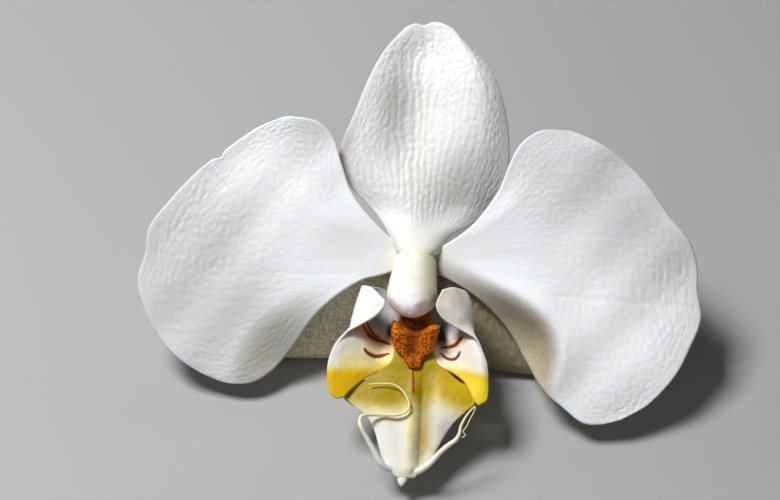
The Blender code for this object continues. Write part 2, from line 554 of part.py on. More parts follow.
def build():
    """Make every piece of the flower."""
    clear_scene()
    white = material("petal_white", (0.86, 0.87, 0.88), 0.55)
    shade = material("sepal_grey_green", (0.55, 0.55, 0.47), 0.6)
    lip_colour = material("lip_white_yellow", (0.88, 0.80, 0.45), 0.45)
    orange = material("callus_orange", (0.72, 0.30, 0.04), 0.45)
    cream = material("column_cream", (0.88, 0.86, 0.78), 0.4)
    cap_white = material("anther_white", (0.9, 0.86, 0.84), 0.4)
    green = material("stalk_green", (0.50, 0.56, 0.30), 0.5)

    resting_place = add_empty("resting_place", (CENTRE_X * MM, CENTRE_Y * MM, 0), (0, 0, 0))
    bloom = add_empty("bloom", (0, 0, CENTRE_HEIGHT * MM), (FACE_TILT, 0, 0))
    bloom.parent = resting_place

    add_piece("dorsal_sepal", petal(DORSAL_SEPAL, dorsal_depth, 22, 16, SEPAL_THICKNESS), white, bloom)
    add_piece("petal_left", petal(LEFT_PETAL, left_petal_depth, 24, 18, PETAL_THICKNESS), white, bloom)
    add_piece("petal_right", petal(RIGHT_PETAL, right_petal_depth, 24, 18, PETAL_THICKNESS), white, bloom)
    add_piece("lateral_sepal_left", lateral_sepal(-1), shade, resting_place)
    add_piece("lateral_sepal_right", lateral_sepal(1), shade, resting_place)

    lip_parts = [lip_middle(), lip_nub(), side_lobe(LEFT_SIDE_LOBE), side_lobe(RIGHT_SIDE_LOBE)]
    lip_parts.append(tube(LEFT_TENDRIL, LEFT_TENDRIL_RADII, 32, 6))
    lip_parts.append(tube(RIGHT_TENDRIL, RIGHT_TENDRIL_RADII, 18, 6))
    lip_pieces = [add_piece(f"lip_{k}", shape, lip_colour, bloom) for k, shape in enumerate(lip_parts)]
    join(lip_pieces, "lip")

    add_piece("lip_callus", callus(), orange, bloom)
    add_piece("column", rings_to_solid(level_rings(COLUMN_RINGS, 20)), cream, bloom)
    add_piece("anther_cap", rings_to_solid(level_rings(CAP_RINGS, 20), CAP_TIP), cap_white, bloom)
    add_piece("pedicel", stalk(), green, resting_place)


build()
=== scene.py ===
# %% [markdown]
# A white moth orchid flower, dressed over its rigid model.
#
# The imported model holds the flower's solids: three sepals, two petals, the lip with its callus, the
# column with its anther cap, and the stalk. This lesson lays a finer piece over each of them, gives every
# piece a finish made of nodes, and lights the flower on a plain floor. Such a flower could also be
# sculpted by hand. Here each shape is a formula over a few measured points, so that every run gives the
# same flower and any measure can still be changed.
#
# The first lines load the model.

# %% Load the rigid model
import math

import bpy
import numpy as np
from mathutils import Matrix


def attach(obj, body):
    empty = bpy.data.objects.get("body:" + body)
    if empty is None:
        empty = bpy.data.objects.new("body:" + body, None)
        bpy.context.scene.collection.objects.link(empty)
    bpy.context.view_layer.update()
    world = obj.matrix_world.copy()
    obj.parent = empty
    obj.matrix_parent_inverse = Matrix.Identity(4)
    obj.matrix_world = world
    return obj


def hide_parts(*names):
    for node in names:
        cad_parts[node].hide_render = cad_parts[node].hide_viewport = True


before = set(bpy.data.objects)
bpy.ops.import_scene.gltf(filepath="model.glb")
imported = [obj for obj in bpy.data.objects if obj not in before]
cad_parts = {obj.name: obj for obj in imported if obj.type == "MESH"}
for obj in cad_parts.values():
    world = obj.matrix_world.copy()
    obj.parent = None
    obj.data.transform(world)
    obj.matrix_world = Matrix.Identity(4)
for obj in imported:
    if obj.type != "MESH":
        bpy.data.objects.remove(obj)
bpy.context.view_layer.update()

print("rigid pieces:", sorted(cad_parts))

# %% [markdown]
# Two sets of axes are used. The frame is in metres with Z up. The flower has axes of its own, in
# millimetres: a runs to the right across its face, f runs up the face, and n runs out of it. The face
# leans back from the upright, so the upper sepal points up and away from the viewer. Measures taken from
# the picture are easiest to give on the face, so shapes are worked out there and turned into the frame.

# %% The flower's own axes
MM = 0.001
FACE_TILT = math.radians(43.5)
CENTRE_X = -0.7
CENTRE_Y = 1.45
CENTRE_HEIGHT = 18.3


def face_to_frame(points):
    """Turn points (a, f, n) in millimetres into the frame's metres."""
    a, f, n = np.moveaxis(np.asarray(points, float), -1, 0)
    x = CENTRE_X + a
    y = CENTRE_Y + f * math.cos(FACE_TILT) - n * math.sin(FACE_TILT)
    z = CENTRE_HEIGHT + f * math.sin(FACE_TILT) + n * math.cos(FACE_TILT)
    return np.stack([x, y, z], axis=-1) * MM


def side_to_frame(points):
    """Turn points (a, distance ahead of the centre, height) in millimetres into the frame's metres."""
    a, ahead, height = np.moveaxis(np.asarray(points, float), -1, 0)
    return np.stack([CENTRE_X + a, CENTRE_Y - ahead, height], axis=-1) * MM


print("the middle of the face, in mm:", np.round(face_to_frame([0.0, 0.0, 0.0]) / MM, 2))

# %% [markdown]
# The camera looks straight down the flower's n axis, as in the photograph, from 290 mm away. Its aim, its
# small roll and its lens follow from where the photograph's middle falls on the flower and from how many
# millimetres one of its pixels covers there.

# %% Camera
CAMERA_DISTANCE = 290.0
CAMERA_AIM = (-4.24, 1.38)
CAMERA_ROLL = math.radians(3.0)
PHOTO_WIDTH = 780
MM_PER_PIXEL = 0.16
SENSOR_WIDTH = 36.0


def aim_camera():
    """Make the scene's camera."""
    data = bpy.data.cameras.new("camera")
    data.sensor_width = SENSOR_WIDTH
    data.lens = SENSOR_WIDTH * CAMERA_DISTANCE / (PHOTO_WIDTH * MM_PER_PIXEL)
    camera = bpy.data.objects.new("camera", data)
    bpy.context.scene.collection.objects.link(camera)
    place = face_to_frame([*CAMERA_AIM, CAMERA_DISTANCE])
    turn = Matrix.Rotation(FACE_TILT, 4, "X") @ Matrix.Rotation(CAMERA_ROLL, 4, "Z")
    camera.matrix_world = Matrix.Translation(place) @ turn
    bpy.context.scene.camera = camera
    return data.lens


print("lens in mm:", round(aim_camera(), 2))

# %% [markdown]
# The photograph's light is soft and comes from above and a little from the left: the hollows that face
# right are in shade, and so is the right petal's lower margin, which curls back below its fold. One large
# lamp hangs there, and a much weaker one fills in from the front. A picture of a room round the scene
# would light it softly too, but two lamps are easier to steer. The floor is a plain pale grey, a few
# shades darker than the flower, so that the white petals stand out.

# %% Floor, lamps and world
KEY_PLACE = (-0.23, 0.03, 0.50)
KEY_SIZE = 0.16
KEY_POWER = 3.6
FILL_PLACE = (-0.20, -0.50, 0.25)
FILL_SIZE = 0.50
FILL_POWER = 0.35
WORLD_GREY = 0.08
FLOOR_GREY = 0.37
FLOOR_SIZE = 6.0
FLOOR_ROUGHNESS = 0.6


def add_lamp(name, place, size, power):
    """A square lamp that faces the flower."""
    data = bpy.data.lights.new(name, "AREA")
    data.size = size
    data.energy = power
    lamp = bpy.data.objects.new(name, data)
    bpy.context.scene.collection.objects.link(lamp)
    lamp.location = place
    lamp.rotation_euler = (-lamp.location).to_track_quat("-Z", "Y").to_euler()
    return lamp


def add_floor():
    """A wide plain floor under the flower."""
    half = FLOOR_SIZE / 2
    corners = [(-half, -half, 0), (half, -half, 0), (half, half, 0), (-half, half, 0)]
    mesh = bpy.data.meshes.new("floor")
    mesh.from_pydata(corners, [], [(0, 1, 2, 3)])
    finish = bpy.data.materials.new("floor_grey")
    finish.use_nodes = True
    shader = finish.node_tree.nodes["Principled BSDF"]
    shader.inputs["Base Color"].default_value = (FLOOR_GREY, FLOOR_GREY, FLOOR_GREY, 1)
    shader.inputs["Roughness"].default_value = FLOOR_ROUGHNESS
    mesh.materials.append(finish)
    floor = bpy.data.objects.new("floor", mesh)
    bpy.context.scene.collection.objects.link(floor)


def add_world():
    """Weak, even light from all round, and colours shown as they are."""
    world = bpy.data.worlds.new("studio")
    world.use_nodes = True
    grey = (WORLD_GREY, WORLD_GREY, WORLD_GREY, 1)
    world.node_tree.nodes["Background"].inputs["Color"].default_value = grey
    bpy.context.scene.world = world
    bpy.context.scene.view_settings.view_transform = "Standard"
    bpy.context.scene.view_settings.look = "None"


add_lamp("key", KEY_PLACE, KEY_SIZE, KEY_POWER)
add_lamp("fill", FILL_PLACE, FILL_SIZE, FILL_POWER)
add_floor()
add_world()

# %% [markdown]
# Node trees are easier to read when each node takes one line. These helpers add a node, set what it
# needs, and give back its output, for geometry trees and for materials alike.

# %% Helpers for node trees


def add_node(tree, kind, sockets=None, **settings):
    """Add one node. Each socket gets a value, or a link from another node's output."""
    made = tree.nodes.new(kind)
    for name, value in settings.items():
        setattr(made, name, value)
    for key, value in (sockets or {}).items():
        if isinstance(value, bpy.types.NodeSocket):
            tree.links.new(value, made.inputs[key])
        else:
            made.inputs[key].default_value = value
    return made


def maths(tree, operation, *values):
    """One step of arithmetic."""
    return add_node(tree, "ShaderNodeMath", dict(enumerate(values)), operation=operation).outputs[0]


def rise(tree, value, low, high):
    """Goes smoothly from 0 at low to 1 at high, or back if high is below low."""
    sockets = {"Value": value, "From Min": low, "From Max": high}
    return add_node(tree, "ShaderNodeMapRange", sockets, interpolation_type="SMOOTHSTEP").outputs[0]


def combine(tree, x, y, z):
    """A vector of three values."""
    return add_node(tree, "ShaderNodeCombineXYZ", {0: x, 1: y, 2: z}).outputs[0]


def noise(tree, vector, scale, detail=2.0):
    """Cloudy noise from 0 to 1."""
    sockets = {"Vector": vector, "Scale": scale, "Detail": detail}
    return add_node(tree, "ShaderNodeTexNoise", sockets).outputs["Fac"]


def blend(tree, share, first, second):
    """Mix two colours."""
    sockets = {0: share}
    for key, colour in ((6, first), (7, second)):
        sockets[key] = colour if isinstance(colour, bpy.types.NodeSocket) else (*colour, 1.0)
    return add_node(tree, "ShaderNodeMix", sockets, data_type="RGBA").outputs[2]


def painted(tree, name):
    """A value that the piece's mesh carries, inside a material."""
    return add_node(tree, "ShaderNodeAttribute", attribute_name=name).outputs["Fac"]


def object_place(tree):
    """Where a point of a piece lies, inside a material."""
    return add_node(tree, "ShaderNodeTexCoord").outputs["Object"]


def patches(tree, size, detail):
    """Cloudy patches of a size in millimetres, all through a piece."""
    return noise(tree, object_place(tree), 1.0 / (size * MM), detail)


print("helpers:", [helper.__name__ for helper in (add_node, maths, rise, combine, noise, blend, patches)])

# %% [markdown]
# A curve is given by a few points and walked smoothly through all of them, so a measured outline is
# followed exactly. A subdivision surface is another way to get smooth edges, but it pulls away from the
# points that it is given. Ramps and humps are the two soft shapes of which all the relief is made.

# %% Helpers for curves
CURVE_STEPS = 60


def ramp(value, low, high):
    """Rises smoothly from 0 at low to 1 at high."""
    x = np.clip((value - low) / (high - low), 0.0, 1.0)
    return x * x * (3.0 - 2.0 * x)


def hump(value, centre, width):
    """A soft bump of height 1 round one value."""
    return np.exp(-(((value - centre) / width) ** 2))


def crowded(count, crowd=0.75):
    """Fractions from 0 to 1 that lie closer together near both ends."""
    t = np.linspace(0.0, 1.0, count + 1)
    return t - crowd * np.sin(2 * math.pi * t) / (2 * math.pi)


def spline(points, fractions):
    """A smooth curve that passes through every point."""
    points = np.array(points, float)
    ends = np.concatenate([[2 * points[0] - points[1]], points, [2 * points[-1] - points[-2]]])
    spans = len(points) - 1
    where = np.asarray(fractions) * spans
    span = np.minimum(where.astype(int), spans - 1)
    t = (where - span).reshape((-1,) + (1,) * (points.ndim - 1))
    p0, p1, p2, p3 = (ends[span + k] for k in range(4))
    return 0.5 * (
        2 * p1 + (p2 - p0) * t + (2 * p0 - 5 * p1 + 4 * p2 - p3) * t**2
        + (3 * p1 - p0 - 3 * p2 + p3) * t**3
    )


def even_spline(points, fractions):
    """The same curve, walked by its length."""
    fine = spline(points, np.linspace(0.0, 1.0, CURVE_STEPS * (len(points) - 1) + 1))
    length = np.concatenate([[0.0], np.cumsum(np.linalg.norm(np.diff(fine, axis=0), axis=1))])
    wanted = np.asarray(fractions) * length[-1]
    return np.stack([np.interp(wanted, length, fine[:, k]) for k in range(fine.shape[1])], axis=1)


print("nine fractions that crowd at both ends:", np.round(crowded(8), 3))

# %% [markdown]
# Surfaces are grids of points. A petal's outline has four edges, and a grid is stretched between them.
# A more folded piece, such as a lobe of the lip, is a smooth surface through a small net of points. Rows
# are set closer together near the margins, where a petal thins out and its rim has to look round.

# %% Helpers for grids
NET_CROWD_UP = 0.5
NET_CROWD_OVER = 0.6


def outline_grid(outline, rows, columns):
    """Fill an outline of four edges: s runs from its base, 0, to its outer edge, 1, and w across it."""
    s, u = crowded(rows), crowded(columns)
    first = even_spline(outline["first"], s)[:, None]
    second = even_spline(outline["second"], s)[:, None]
    base = even_spline(outline["base"], u)[None]
    outer = even_spline(outline["outer"], u)[None]
    s, u = s[:, None, None], u[None, :, None]
    corners = (1 - s) * ((1 - u) * first[0] + u * second[0]) + s * ((1 - u) * first[-1] + u * second[-1])
    flat = (1 - u) * first + u * second + (1 - s) * base + s * outer - corners
    return flat[..., 0], flat[..., 1], s[..., 0], 2 * u[..., 0] - 1


def net_grid(net, rows, columns):
    """A smooth surface through a net of points, with the fractions of its rows and columns."""
    s, u = crowded(rows, NET_CROWD_UP), crowded(columns, NET_CROWD_OVER)
    surface = np.swapaxes(spline(np.swapaxes(spline(net, s), 0, 1), u), 0, 1)
    return surface, s[:, None], u[None]


def grid_faces(index):
    """The four-sided faces between the points of a grid, from the grid of their numbers."""
    corners = [index[:-1, :-1], index[:-1, 1:], index[1:, 1:], index[1:, :-1]]
    return np.stack(corners, axis=-1).reshape(-1, 4)


def arc_lengths(surface):
    """How far each point of a grid lies up its column, and across from the middle of its row."""
    steps_up = np.linalg.norm(np.diff(surface, axis=0), axis=2)
    steps_over = np.linalg.norm(np.diff(surface, axis=1), axis=2)
    up = np.vstack([np.zeros(surface.shape[1]), np.cumsum(steps_up, axis=0)])
    over = np.hstack([np.zeros((surface.shape[0], 1)), np.cumsum(steps_over, axis=1)])
    return up, over


def round_rim(surface, thickness, rim):
    """Half the blade's thickness at each point: nothing at the margin, and full past a round rim."""
    up, over = arc_lengths(surface)
    inside = np.minimum.reduce([up, up[-1:] - up, over, over[:, -1:] - over])
    near = 1.0 - np.clip(inside / rim, 0.0, 1.0)
    return 0.5 * thickness * np.sqrt(np.maximum(0.0, 1.0 - near**2))


print("faces in a grid of 3 by 4 points:", len(grid_faces(np.arange(12).reshape(3, 4))))

# %% [markdown]
# Petals and sepals are soft blades about half a millimetre thick. Each starts as one open grid of
# points, the middle of the blade. A geometry tree then does to every blade what growth did: it raises
# the veins, crinkles the skin between them, and swells the sheet to its thickness, which runs out to
# nothing at the rim. The front and back sheets meet there and are merged, so the blade is closed. A
# Displace and a Solidify modifier could do much of this, but not follow each blade's own veins. One tree
# with named inputs serves all blades, and only its numbers differ.

# %% Helpers for geometry trees


def tree_inputs(tree, wanted):
    """Give a geometry tree its named inputs and its output."""
    tree.interface.new_socket(name="Geometry", in_out="INPUT", socket_type="NodeSocketGeometry")
    for name, kind in wanted.items():
        tree.interface.new_socket(name=name, in_out="INPUT", socket_type="NodeSocket" + kind)
    tree.interface.new_socket(name="Geometry", in_out="OUTPUT", socket_type="NodeSocketGeometry")
    return tree.nodes.new("NodeGroupInput").outputs, tree.nodes.new("NodeGroupOutput").inputs


def named(tree, name):
    """A value that the mesh carries, inside a geometry tree."""
    sockets = {"Name": name}
    return add_node(tree, "GeometryNodeInputNamedAttribute", sockets, data_type="FLOAT").outputs[0]


def along_normal(tree, geometry, distance):
    """Move every point along its normal."""
    normal = tree.nodes.new("GeometryNodeInputNormal").outputs[0]
    push = add_node(tree, "ShaderNodeVectorMath", {0: normal, "Scale": distance}, operation="SCALE")
    sockets = {"Geometry": geometry, "Offset": push.outputs[0]}
    return add_node(tree, "GeometryNodeSetPosition", sockets).outputs[0]


def finish_tree(tree, geometry, given, out):
    """Shade smooth, make instances real and give the finish, at the end of a tree."""
    smooth = add_node(tree, "GeometryNodeSetShadeSmooth", {"Geometry": geometry}).outputs[0]
    real = add_node(tree, "GeometryNodeRealizeInstances", {"Geometry": smooth}).outputs[0]
    sockets = {"Geometry": real, "Material": given["Material"]}
    tree.links.new(add_node(tree, "GeometryNodeSetMaterial", sockets).outputs[0], out[0])


def mark(tree, geometry, name, value):
    """Let every point carry one more value."""
    sockets = {"Geometry": geometry, "Name": name, "Value": value}
    return add_node(tree, "GeometryNodeStoreNamedAttribute", sockets, data_type="FLOAT").outputs[0]


def above_floor(tree, geometry, lowest):
    """Lift the points that would lie lower than the floor."""
    place = add_node(tree, "GeometryNodeInputPosition").outputs[0]
    x, y, z = add_node(tree, "ShaderNodeSeparateXYZ", {0: place}).outputs
    lifted = combine(tree, x, y, maths(tree, "MAXIMUM", z, lowest))
    return add_node(tree, "GeometryNodeSetPosition", {"Geometry": geometry, "Position": lifted}).outputs[0]


print("helpers:", [helper.__name__ for helper in (tree_inputs, along_normal, mark, above_floor, finish_tree)])

# %% Veins and wrinkles as relief
VEIN_WANDER = 2.2
VEIN_WANDER_LENGTH = 5.0
VEIN_SHARPNESS = 2.0
MEAN_RIDGE = 0.37
WEB_FINENESS = 1.7


def vein_relief(tree, given, up, over):
    """Ridges that run up the blade and wander a little: where they are, and how far they rise."""
    lane = maths(tree, "DIVIDE", over, given["Vein Spacing"])
    slow = maths(tree, "DIVIDE", up, maths(tree, "MULTIPLY", given["Vein Spacing"], VEIN_WANDER_LENGTH))
    wander = noise(tree, combine(tree, slow, maths(tree, "MULTIPLY", lane, 0.5), given["Seed"]), 1.0)
    phase = maths(tree, "MULTIPLY_ADD", wander, VEIN_WANDER, lane)
    wave = maths(tree, "COSINE", maths(tree, "MULTIPLY", phase, 2 * math.pi))
    ridge = maths(tree, "POWER", maths(tree, "MULTIPLY_ADD", wave, 0.5, 0.5), VEIN_SHARPNESS)
    raised = maths(tree, "MULTIPLY", maths(tree, "SUBTRACT", ridge, MEAN_RIDGE), given["Vein Height"])
    weight = named(tree, "veins")
    return maths(tree, "MULTIPLY", ridge, weight), maths(tree, "MULTIPLY", raised, weight)


def crinkle_relief(tree, given, up, over):
    """Small wrinkles, and a web of fine furrows between them."""
    size = given["Crinkle Size"]
    length = maths(tree, "MULTIPLY", size, given["Crinkle Stretch"])
    grain = combine(tree, maths(tree, "DIVIDE", over, size), maths(tree, "DIVIDE", up, length), given["Seed"])
    cloud = maths(tree, "SUBTRACT", noise(tree, grain, 1.0), 0.5)
    web = maths(tree, "ABSOLUTE", maths(tree, "SUBTRACT", noise(tree, grain, WEB_FINENESS, 1.0), 0.5))
    rough = maths(tree, "SUBTRACT", cloud, maths(tree, "MULTIPLY", web, given["Web"]))
    raised = maths(tree, "MULTIPLY", rough, given["Crinkle Height"])
    return maths(tree, "MULTIPLY", raised, named(tree, "crinkle"))


print("helpers:", [helper.__name__ for helper in (vein_relief, crinkle_relief)])

# %% Geometry tree: from a thin sheet to a living blade
MERGE_DISTANCE = 0.002 * MM


def grow_blade_tree():
    """Veins, crinkles and thickness for a sheet whose points carry their lengths and weights."""
    tree = bpy.data.node_groups.new("living_blade", "GeometryNodeTree")
    given, out = tree_inputs(tree, {
        "Vein Spacing": "Float", "Vein Height": "Float", "Crinkle Size": "Float",
        "Crinkle Stretch": "Float", "Crinkle Height": "Float", "Web": "Float", "Seed": "Float",
        "Floor": "Float", "Material": "Material",
    })
    up, over = named(tree, "grain_up"), named(tree, "grain_over")
    ridge, vein = vein_relief(tree, given, up, over)
    crinkle = crinkle_relief(tree, given, up, over)
    sheet = mark(tree, given["Geometry"], "ridge", ridge)
    lifted = along_normal(tree, sheet, maths(tree, "ADD", vein, crinkle))
    half = named(tree, "half")
    front = along_normal(tree, lifted, half)
    back = along_normal(tree, lifted, maths(tree, "MULTIPLY", half, -1.0))
    back = add_node(tree, "GeometryNodeFlipFaces", {"Mesh": back}).outputs[0]
    back = mark(tree, back, "behind", 1.0)
    both = tree.nodes.new("GeometryNodeJoinGeometry")
    for face in (front, back):
        tree.links.new(face, both.inputs[0])
    merged = {"Geometry": both.outputs[0], "Distance": MERGE_DISTANCE}
    closed = add_node(tree, "GeometryNodeMergeByDistance", merged).outputs[0]
    finish_tree(tree, above_floor(tree, closed, given["Floor"]), given, out)
    return tree


BLADE_TREE = grow_blade_tree()
print("blade tree inputs:", [item.name for item in BLADE_TREE.interface.items_tree])

# %% [markdown]
# The grid becomes a mesh that carries what the tree and the finishes need: lengths in metres up and
# across the blade, the weights of veins and crinkles, and half the thickness. Once the tree has run,
# its result is kept as a plain mesh, because a piece is handed on without live modifiers.

# %% Helpers that run a tree and keep its result
TRIANGLES = {}


def mesh_object(name, points, edges, faces, values):
    """A mesh as an object of the scene, with named values stored on its points."""
    mesh = bpy.data.meshes.new(name)
    mesh.from_pydata(points, edges, faces)
    for key, value in values.items():
        stored = np.empty(len(points), np.float32)
        stored[:] = np.ravel(value)
        mesh.attributes.new(key, "FLOAT", "POINT").data.foreach_set("value", stored)
    thing = bpy.data.objects.new(name, mesh)
    bpy.context.scene.collection.objects.link(thing)
    return thing


def run_tree(thing, tree, inputs):
    """Run a geometry tree on an object and keep the result as its plain mesh."""
    modifier = thing.modifiers.new(tree.name, "NODES")
    modifier.node_group = tree
    for item in tree.interface.items_tree:
        if item.in_out == "INPUT" and item.name in inputs:
            modifier[item.identifier] = inputs[item.name]
    bpy.context.view_layer.update()
    graph = bpy.context.evaluated_depsgraph_get()
    grown = thing.evaluated_get(graph)
    made = bpy.data.meshes.new_from_object(grown, preserve_all_data_layers=True, depsgraph=graph)
    thing.modifiers.remove(modifier)
    thing.data = made
    made.name = thing.name
    return thing


def settle(piece, node):
    """Hang a finished piece under the root, hide the rigid node that it stands for, and count its triangles.
    """
    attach(piece, "root")
    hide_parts(node)
    TRIANGLES[piece.name] = sum(len(face.vertices) - 2 for face in piece.data.polygons)
    print(piece.name, "triangles:", TRIANGLES[piece.name])


print("pieces made so far:", len(TRIANGLES))

# %% Helpers that grow a blade


def faces_back(surface):
    """Whether a grid of points turns its front away from the viewer."""
    normals = np.cross(np.gradient(surface, axis=1), np.gradient(surface, axis=0))
    towards = face_to_frame([0.0, 0.0, 1.0]) - face_to_frame([0.0, 0.0, 0.0])
    return normals.reshape(-1, 3).sum(axis=0) @ towards < 0


def grow_blade(name, surface, values, thickness, rim, growth):
    """Make a closed blade from a grid of points in the frame's metres."""
    up, over = arc_lengths(surface)
    values = {
        "up": up, "grain_up": up, "grain_over": over, "veins": 1.0, "crinkle": 1.0,
        "half": round_rim(surface, thickness * MM, rim * MM), "behind": 0.0, **values,
    }
    shape = surface.shape[:2]
    values = {key: np.broadcast_to(value, shape) for key, value in values.items()}
    if faces_back(surface):
        surface = surface[:, ::-1]
        values = {key: value[:, ::-1] for key, value in values.items()}
    faces = grid_faces(np.arange(shape[0] * shape[1]).reshape(shape))
    sheet = mesh_object(name, surface.reshape(-1, 3), [], faces.tolist(), values)
    return run_tree(sheet, BLADE_TREE, {"Floor": 0.0, **growth})


def fan_lengths(a, f, centre, spread, even_at):
    """Lengths up and across veins that fan out from a centre, in metres, and true at one distance."""
    reach = np.hypot(a - centre[0], f - centre[1])
    middle = math.atan2(spread[1], spread[0])
    angle = np.arctan2(f - centre[1], a - centre[0]) - middle
    angle = (angle + math.pi) % (2 * math.pi) - math.pi
    return {"grain_up": reach * MM, "grain_over": angle * np.sqrt(reach * even_at) * MM}


print("helpers:", [helper.__name__ for helper in (faces_back, grow_blade, fan_lengths)])

# %% [markdown]
# The petals' finish. A fresh moth orchid petal is white with a cool cast, greenish cream where it joins the
# column, and so soft that light goes into it, which the shader's subsurface part does. Its skin is made of
# tiny domed cells that glitter a little. The ridges of the veins are a touch creamier. On top of that, shade
# is
# painted in: a grey shade on a petal's outer zones, and an olive shade where a petal turns down from the
# light beyond its fold. A painted image would be the usual way. Here all of it is worked out from lengths and
# weights that the mesh carries, so that the pattern follows the petal from every side and stays sharp at any
# size.

# %% Finish of petals and sepals
PETAL_WHITE = (0.84, 0.86, 0.89)
PETAL_CREAM = (0.84, 0.83, 0.66)
PETAL_GREEN = (0.68, 0.70, 0.44)
# The next two colours are painted shade: grey for zones away from a petal's bright middle, olive where a
# petal turns down from the light.
PETAL_SHADE_GREY = (0.64, 0.655, 0.68)
PETAL_PAINTED_SHADE = (0.29, 0.235, 0.12)
PETAL_BLOT = (0.62, 0.60, 0.54)
# Painted shade colour for the upper sepal's hollows, patches and margins.
DORSAL_SHADE_GREY = (0.46, 0.44, 0.42)
CREAM_WANDER = 2.0
BLOT_SIZE = 0.55
LIGHT_REACH = (1.0, 0.9, 0.75)


def new_finish(name, roughness, subsurface, depth):
    """A material with its even values set on the shader itself. Light goes in to a depth in millimetres."""
    finish = bpy.data.materials.new(name)
    finish.use_nodes = True
    shader = finish.node_tree.nodes["Principled BSDF"]
    shader.inputs["Roughness"].default_value = roughness
    shader.inputs["Subsurface Weight"].default_value = subsurface
    shader.inputs["Subsurface Radius"].default_value = LIGHT_REACH
    shader.inputs["Subsurface Scale"].default_value = depth * MM
    return finish, finish.node_tree, shader


def cell_skin(tree, shader, size, strength, height):
    """Tiny domed cells on the skin, as relief."""
    sockets = {"Strength": strength, "Distance": height * MM, "Height": patches(tree, size, 1.0)}
    tree.links.new(add_node(tree, "ShaderNodeBump", sockets).outputs[0], shader.inputs["Normal"])


def petal_finish(name, colours, cream_reach, green_reach, mottle, tint):
    """White, then cream, then green towards the base, with tinted veins, blots, and zones of painted grey and
    dark shade.
    """
    white, cream, green, painted_shade, dark = colours
    finish, tree, shader = new_finish(name, roughness=0.55, subsurface=0.35, depth=0.7)
    cell_skin(tree, shader, size=0.28, strength=0.5, height=0.05)
    up = maths(tree, "DIVIDE", painted(tree, "up"), MM)
    edge = maths(tree, "MULTIPLY_ADD", patches(tree, size=6.0, detail=2.0), CREAM_WANDER, up)
    colour = blend(tree, rise(tree, edge, cream_reach, 1.0), white, cream)
    colour = blend(tree, rise(tree, edge, green_reach, 0.0), colour, green)
    # Painted grey shade: on the petals' outer zones and, lighter, over the upper sepal.
    colour = blend(tree, painted(tree, "grey_shade"), colour, PETAL_SHADE_GREY)
    colour = blend(tree, maths(tree, "MULTIPLY", painted(tree, "ridge"), tint), colour, cream)
    # Painted dark shade: beyond the petals' folds, in the upper sepal's hollows and margins, and on the right
    # lower sepal.
    colour = blend(tree, painted(tree, "painted_shade"), colour, painted_shade)
    blots = rise(tree, patches(tree, BLOT_SIZE, 2.0), 0.62, 0.38)
    colour = blend(tree, maths(tree, "MULTIPLY", blots, mottle), colour, dark)
    tree.links.new(colour, shader.inputs["Base Color"])
    return finish


PETAL_COLOURS = (PETAL_WHITE, PETAL_CREAM, PETAL_GREEN, PETAL_PAINTED_SHADE, PETAL_BLOT)
DORSAL_COLOURS = (PETAL_WHITE, PETAL_CREAM, PETAL_CREAM, DORSAL_SHADE_GREY, PETAL_BLOT)
PETAL_FINISH = petal_finish("petal_white", PETAL_COLOURS, 5.5, 1.5, mottle=0.10, tint=0.1)
DORSAL_FINISH = petal_finish("sepal_white", DORSAL_COLOURS, 9.0, 3.0, mottle=0.22, tint=0.5)
print("finishes:", PETAL_FINISH.name, DORSAL_FINISH.name)

# %% [markdown]
# The two petals. Each outline is walked from the base, along its lower and upper margins, to the broad
# outer edge. The surface dishes forward in the middle and rolls back at the margins. The right petal has
# a strong fold along its lower side, and the left one a weaker one. The left one also has a small nick in
# its outer margin, with a crease running in from it, and both have a fine line along the middle.

# %% Petal outlines
LEFT_PETAL = {
    "base": [(-2.2, -1.7), (-2.3, 0.0), (-2.2, 1.7)],
    "first": [(-2.2, -1.7), (-5.6, -2.8), (-8.9, -3.9), (-13.0, -6.9), (-16.2, -10.4), (-19.0, -14.9),
              (-21.9, -18.7), (-24.8, -20.8), (-28.0, -21.3), (-30.6, -20.8)],
    "second": [(-2.2, 1.7), (-6.3, 5.1), (-10.5, 9.7), (-12.8, 15.1), (-14.2, 19.0), (-16.9, 21.3),
               (-20.8, 21.8), (-22.5, 21.6)],
    "outer": [(-30.6, -20.8), (-34.5, -19.3), (-38.3, -16.7), (-41.3, -13.2), (-43.3, -9.1),
              (-44.2, -5.2), (-43.2, -1.1), (-42.7, 3.0), (-40.2, 6.8), (-35.6, 12.3), (-31.5, 15.8),
              (-26.8, 19.5), (-22.5, 21.6)],
}
RIGHT_PETAL = {
    "base": [(2.3, -1.7), (2.4, 0.0), (2.3, 1.5)],
    "first": [(2.3, -1.7), (5.4, -2.9), (8.9, -4.7), (12.4, -7.3), (15.8, -10.9), (18.3, -15.0),
              (20.9, -19.3), (24.2, -22.0), (27.5, -24.3), (30.6, -24.4), (33.7, -23.5)],
    "second": [(2.3, 1.5), (5.1, 3.1), (8.9, 6.3), (12.4, 11.5), (14.0, 16.0), (15.7, 19.4),
               (18.9, 21.7), (23.6, 21.9)],
    "outer": [(33.7, -23.5), (38.1, -20.7), (41.9, -16.1), (44.3, -11.3), (45.8, -7.0), (45.2, -2.6),
              (45.0, 1.4), (43.4, 5.4), (40.2, 8.9), (36.7, 13.4), (32.4, 17.5), (27.9, 20.3),
              (23.6, 21.9)],
}
LEFT_FOLD = [(-8.5, -3.0), (-13.0, -4.9), (-18.0, -7.2), (-22.8, -10.4), (-26.2, -14.8), (-27.6, -19.5),
             (-28.0, -24.0)]
RIGHT_FOLD = [(2.0, 0.2), (4.4, -0.7), (8.5, -2.3), (12.5, -4.0), (16.0, -5.6), (18.8, -7.3), (21.0, -9.1),
              (22.4, -11.2), (22.9, -13.3), (22.9, -15.3), (22.4, -18.2), (21.6, -22.0), (21.0, -25.0)]
LEFT_NICK = (-32.3, 15.1)
